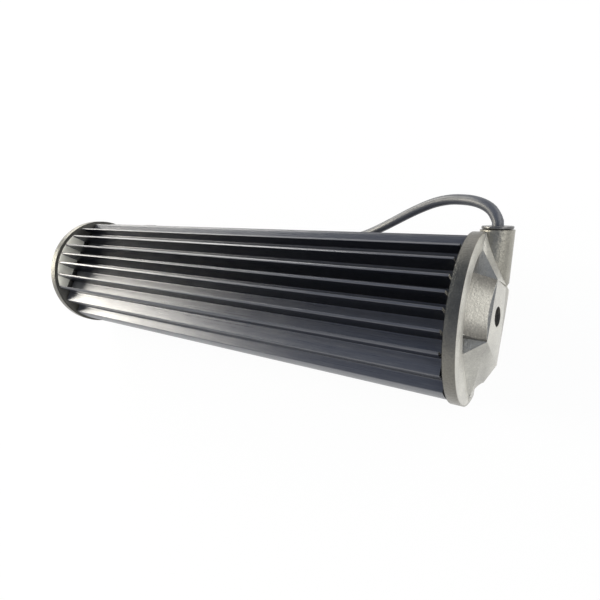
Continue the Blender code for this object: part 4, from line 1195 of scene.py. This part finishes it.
def build_hollow_group():
    """The places where a casting gets painted light and shade, as masks: painted shade in the
    pocket, its corners, the bolt hole, the inner face round the seat and on the gland;
    painted shade on the rim; and painted light on the seat, a pale patch of the inner face."""
    origin = (0.0, 0.0, 0.0)
    group, given, masks = new_group(
        "hollows",
        (
            ("Place", VECTOR, None),
            ("Pocket middle", VECTOR, origin), ("Pocket radius", NUMBER, POCKET_RADIUS),
            ("Pocket floor", NUMBER, POCKET_FLOOR + OVERLAP),
            ("Hole middle", VECTOR, origin), ("Hole radius", NUMBER, BOLT_RADIUS + 0.00025),
            ("Cap middle", VECTOR, origin),
            ("Rim radius", NUMBER, CAP - 0.0006), ("Rim reach", NUMBER, CAP_FACE + 0.0002),
            ("Seat radius", NUMBER, CAP - 0.0021), ("Seat reach", NUMBER, CAP_INNER + 0.0002),
            ("Seat floor", NUMBER, 0.0),
            ("Seat from", NUMBER, -0.0232), ("Seat to", NUMBER, 0.0160),
            ("Gland middle", VECTOR, origin), ("Gland way", VECTOR, (0.0, 1.0, 0.0)),
            ("Gland radius", NUMBER, TUBE_RADIUS + 0.00005),
        ),
        ("Pocket", "Corner shade", "Painted shade", "Rim", "Lit seat", "Gland"),
    )
    place = given["Place"]

    def test(kind, first, second=0.0):
        return maths(group, kind, first, second)

    def from_line(middle):
        """A place's offset from a middle, and its distance from the line along X there."""
        offset = vectors(group, "SUBTRACT", place, given[middle])
        flat = vectors(group, "MULTIPLY", offset, (0.0, 1.0, 1.0))
        return offset, vectors(group, "LENGTH", flat)

    within = test("LESS_THAN", from_line("Pocket middle")[1], given["Pocket radius"])
    above = test("GREATER_THAN", parts(group, place)["Z"], given["Pocket floor"])
    pocket = test("MULTIPLY", within, above)
    offset, reach = from_line("Hole middle")
    across = test("ABSOLUTE", parts(group, offset)["Y"])
    beside_ramp = spread(group, across, 0.0, 1.0, 0.003, RAMP_HALF, "SMOOTHSTEP")
    hole = test("LESS_THAN", reach, given["Hole radius"])
    offset, reach = from_line("Cap middle")
    along = parts(group, offset)
    far_out = test("ABSOLUTE", along["X"])
    rim = test("GREATER_THAN", reach, given["Rim radius"])
    # The seat is a patch of the inner face where painted light goes, between set places along Y.
    inner = test("LESS_THAN", far_out, given["Seat reach"])
    seat = test("LESS_THAN", reach, given["Seat radius"])
    for kind, axis, bound in (
        ("GREATER_THAN", "Z", "Seat floor"), ("GREATER_THAN", "Y", "Seat from"),
        ("LESS_THAN", "Y", "Seat to"),
    ):
        seat = test("MULTIPLY", seat, test(kind, along[axis], given[bound]))
    # Painted shade goes on the inner face round the seat, and on the bolt hole.
    margin = test("MULTIPLY", inner, test("SUBTRACT", 1.0, seat))
    from_gland = vectors(group, "SUBTRACT", place, given["Gland middle"])
    from_axis = vectors(group, "CROSS_PRODUCT", from_gland, given["Gland way"])
    tube = test("LESS_THAN", vectors(group, "LENGTH", from_axis), given["Gland radius"])
    found = {
        "Pocket": pocket,
        "Corner shade": test("MULTIPLY", pocket, beside_ramp),
        "Painted shade": test("MAXIMUM", hole, margin),
        "Rim": test("MULTIPLY", rim, test("LESS_THAN", far_out, given["Rim reach"])),
        "Lit seat": test("MULTIPLY", inner, seat),
        "Gland": test("MULTIPLY", tube, test("GREATER_THAN", far_out, given["Rim reach"])),
    }
    for label, mask in found.items():
        group.links.new(mask, masks[label])
    return group


def cast_finish():
    """Grey powder coat with pits, and painted light and shade: lighter on faces that look
    along X and darker on the others, painted shade in the pocket and its corners, in the
    bolt hole, round the inner face, on the gland and on the rim by how it faces, and
    painted light on a pale patch of the inner face called the seat."""
    finish, tree, shader = new_finish("grey_powder_coat", 0.36, 0.5, Specular_IOR_Level=0.5)
    place = add(tree, "ShaderNodeTexCoord").outputs["Object"]
    skin = skin_masks(tree, place, 0.0007, 0.012)
    pits = add(tree, "ShaderNodeTexVoronoi", {"Vector": place, "Scale": 900.0})
    colour = ramp(
        tree, mottle(tree, skin),
        (0.36, (0.36, 0.35, 0.32)), (0.5, (0.45, 0.44, 0.40)), (0.64, (0.56, 0.55, 0.50)),
    )
    faces = facing(tree)
    # Painted light and shade: faces that look along X are made lighter, the others darker.
    facing_light = spread(tree, faces["X"], 0.80, 1.12, 0.75, 0.97, "SMOOTHSTEP")
    colour = add(
        tree, "ShaderNodeVectorMath", {0: colour, "Scale": facing_light}, operation="SCALE"
    ).outputs[0]
    # Painted shade on the rim, by how it faces: deepest where it faces up or down, least where it
    # faces sideways.
    rim_shade = ramp(
        tree, faces["Z"],
        (0.2, (0.60, 0.585, 0.56)), (0.5, (0.45, 0.44, 0.42)), (0.82, (0.42, 0.41, 0.40)),
        (0.93, (0.28, 0.28, 0.28)), (0.99, (0.17, 0.175, 0.18)),
    )
    hollows = add(
        tree, "ShaderNodeGroup",
        {
            "Place": place,
            "Pocket middle": Vector((0, POCKET_SHIFT, AXIS)) + MIDDLE,
            "Hole middle": Vector((0, 0, BOLT_LEVEL)) + MIDDLE,
            "Cap middle": Vector((0, 0, AXIS)) + MIDDLE,
            "Seat floor": BACK_WALL + 0.0025 - AXIS,
            "Gland middle": GLAND_END + MIDDLE,
            "Gland way": GLAND_WAY,
        },
        node_tree=build_hollow_group(),
    ).outputs
    for mask, tint in (
        # Painted shade in the pocket, deeper in its corners beside the ramp.
        ("Pocket", (0.92, 0.91, 0.90, 1.0)), ("Corner shade", (0.34, 0.335, 0.33, 1.0)),
        # Painted shade in the bolt hole and round the inner face, and painted shade on the rim by
        # how it faces.
        ("Painted shade", (0.14, 0.14, 0.14, 1.0)), ("Rim", rim_shade),
        # Painted shade on the gland tube.
        ("Gland", (0.60, 0.59, 0.56, 1.0)),
    ):
        colour = tinted(tree, colour, hollows[mask], tint)
    height = maths(tree, "ADD", skin["Grain"], pits.outputs["Distance"])
    feed(
        tree, shader,
        {
            # Painted light: a pale, less metallic patch on the inner face.
            "Base Color": tinted(
                tree, colour, hollows["Lit seat"], (0.94, 0.92, 0.82, 1.0), "MIX"
            ),
            "Metallic": spread(tree, hollows["Lit seat"], 0.5, 0.1, 0.0, 1.0),
            "Roughness": spread(tree, skin["Smudge"], 0.28, 0.42),
            "Normal": relief(tree, height, 0.35, 0.0003),
        },
    )
    return finish


powder_coat = cast_finish()
for name, end, with_gland in (("gland_end_cap", 1, True), ("plain_end_cap", -1, False)):
    cap = show(f"{name}_casting", cap_mesh(name, end, with_gland), powder_coat, 32)
    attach(cap, "root")
    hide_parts(name)


# End cap screws
# Four black M4 socket screws, two in each cap, in counterbores on the lens side.
# They run through the gasket into the housing's screw ports.
HEAD = 0.0024
SHANK = 0.0160
HEAD_SEAT = CAP_FACE - SEAT_DEPTH + 0.0003
black_oxide = skinned(
    "black_oxide", (0.030, 0.031, 0.034), (0.060, 0.060, 0.064), 0.24, 0.4, 0.0003, 0.004, 0.15,
    0.8,
)
screw_corners = [
    (0.0018, HEAD), (0.0031, HEAD), (0.0035, HEAD - 0.0004), (0.0035, 0.0), (0.0020, 0.0),
    (0.0020, 0.0008 - SHANK), (0.0014, -SHANK),
]
screw_profile = [(0.0, HEAD), *rounded(screw_corners, 0.0002, 3, False), (0.0, -SHANK)]
hexagon = [(0.0, 0.0010), (0.0017, 0.0010), (0.0017, 0.0030), (0.0, 0.0030)]
for number, (end, side) in enumerate(((1, 1), (1, -1), (-1, 1), (-1, -1)), 1):
    place = (end * HEAD_SEAT, side * SCREW_ACROSS, SCREW_LEVEL)
    screw = carve(
        lathe_mesh("screw", screw_profile, place, (end, 0, 0), 48),
        [lathe_mesh("hexagon", hexagon, place, (end, 0, 0), 6)], "DIFFERENCE",
    )
    screw = show(f"cap_screw_{number}", screw, black_oxide, 30)
    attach(screw, "root")
    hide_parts(f"end_cap_screw_{number}")


# Studio
# A white ground, and round it a pale tent that is dim overhead, with windows beyond
# both ends of the bar and beside the near one. Those at the far end are the brighter.
GROUND = 6.0
GROUND_LEVEL = -0.0002
WINDOW_DISTANCE = 2.0
ground_mesh = bpy.data.meshes.new("ground")
ground_mesh.from_pydata(
    [(GROUND * x, GROUND * y, 0) for x, y in ((-1, -1), (1, -1), (1, 1), (-1, 1))], [],
    [(0, 1, 2, 3)],
)
ground = placed("ground", ground_mesh)
ground.location.z = GROUND_LEVEL
paper, paper_tree, paper_shader = new_finish("paper", 0.9, Specular_IOR_Level=0.0)
paper_shader.inputs["Base Color"].default_value = (0.86, 0.86, 0.86, 1.0)
seen_white = add(
    paper_tree, "ShaderNodeEmission", {"Color": (1.0, 1.0, 1.0, 1.0), "Strength": 1.0}
)
light_path = add(paper_tree, "ShaderNodeLightPath")
white_rays = light_path.outputs["Is Camera Ray"]
for other in ("Is Glossy Ray", "Is Transmission Ray"):
    white_rays = maths(paper_tree, "MAXIMUM", white_rays, light_path.outputs[other])
paper_mix = add(
    paper_tree, "ShaderNodeMixShader",
    {
        0: maths(paper_tree, "MULTIPLY", white_rays, 0.95), 1: paper_shader.outputs[0],
        2: seen_white.outputs[0],
    },
)
paper_tree.links.new(
    paper_mix.outputs[0], paper_tree.nodes["Material Output"].inputs["Surface"]
)
ground_mesh.materials.append(paper)
ground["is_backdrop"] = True

world = bpy.data.worlds.new("tent")
bpy.context.scene.world = world
world.use_nodes = True
sky_tree = world.node_tree
direction = add(sky_tree, "ShaderNodeTexCoord").outputs["Generated"]
tent_light = ramp(
    sky_tree, parts(sky_tree, direction)["Z"],
    (0.0, (0.95, 0.95, 0.94)), (0.36, (0.86, 0.86, 0.86)), (0.55, (0.26, 0.29, 0.35)),
    (0.75, (0.23, 0.28, 0.40)),
)
sky_tree.links.new(tent_light, sky_tree.nodes["Background"].inputs["Color"])
for turned, raised, breadth, power, tint in (
    (184, 27, 1.0, 38.0, (1.0, 0.94, 0.79)), (140, 20, 1.3, 27.0, (1.0, 0.96, 0.85)),
    (4, 37, 1.3, 14.0, (1.0, 0.98, 0.92)), (45, 18, 1.3, 8.0, (1.0, 0.98, 0.93)),
    (-45, 18, 1.3, 8.0, (1.0, 0.98, 0.93)),
):
    turn, rise = math.radians(turned), math.radians(raised)
    flat = math.cos(rise)
    way = Vector((flat * math.cos(turn), flat * math.sin(turn), math.sin(rise)))
    lamp_data = bpy.data.lights.new("window", "AREA")
    lamp_data.shape = "DISK"
    lamp_data.size = breadth
    lamp_data.energy = power
    lamp_data.color = tint
    window = placed("window", lamp_data)
    window.location = WINDOW_DISTANCE * way
    window.rotation_mode = "QUATERNION"
    window.rotation_quaternion = way.to_track_quat("Z", "Y")
    window.visible_camera = False
bpy.context.scene.view_settings.view_transform = "Standard"


# Sizes
# The box round the finished model.
low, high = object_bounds()
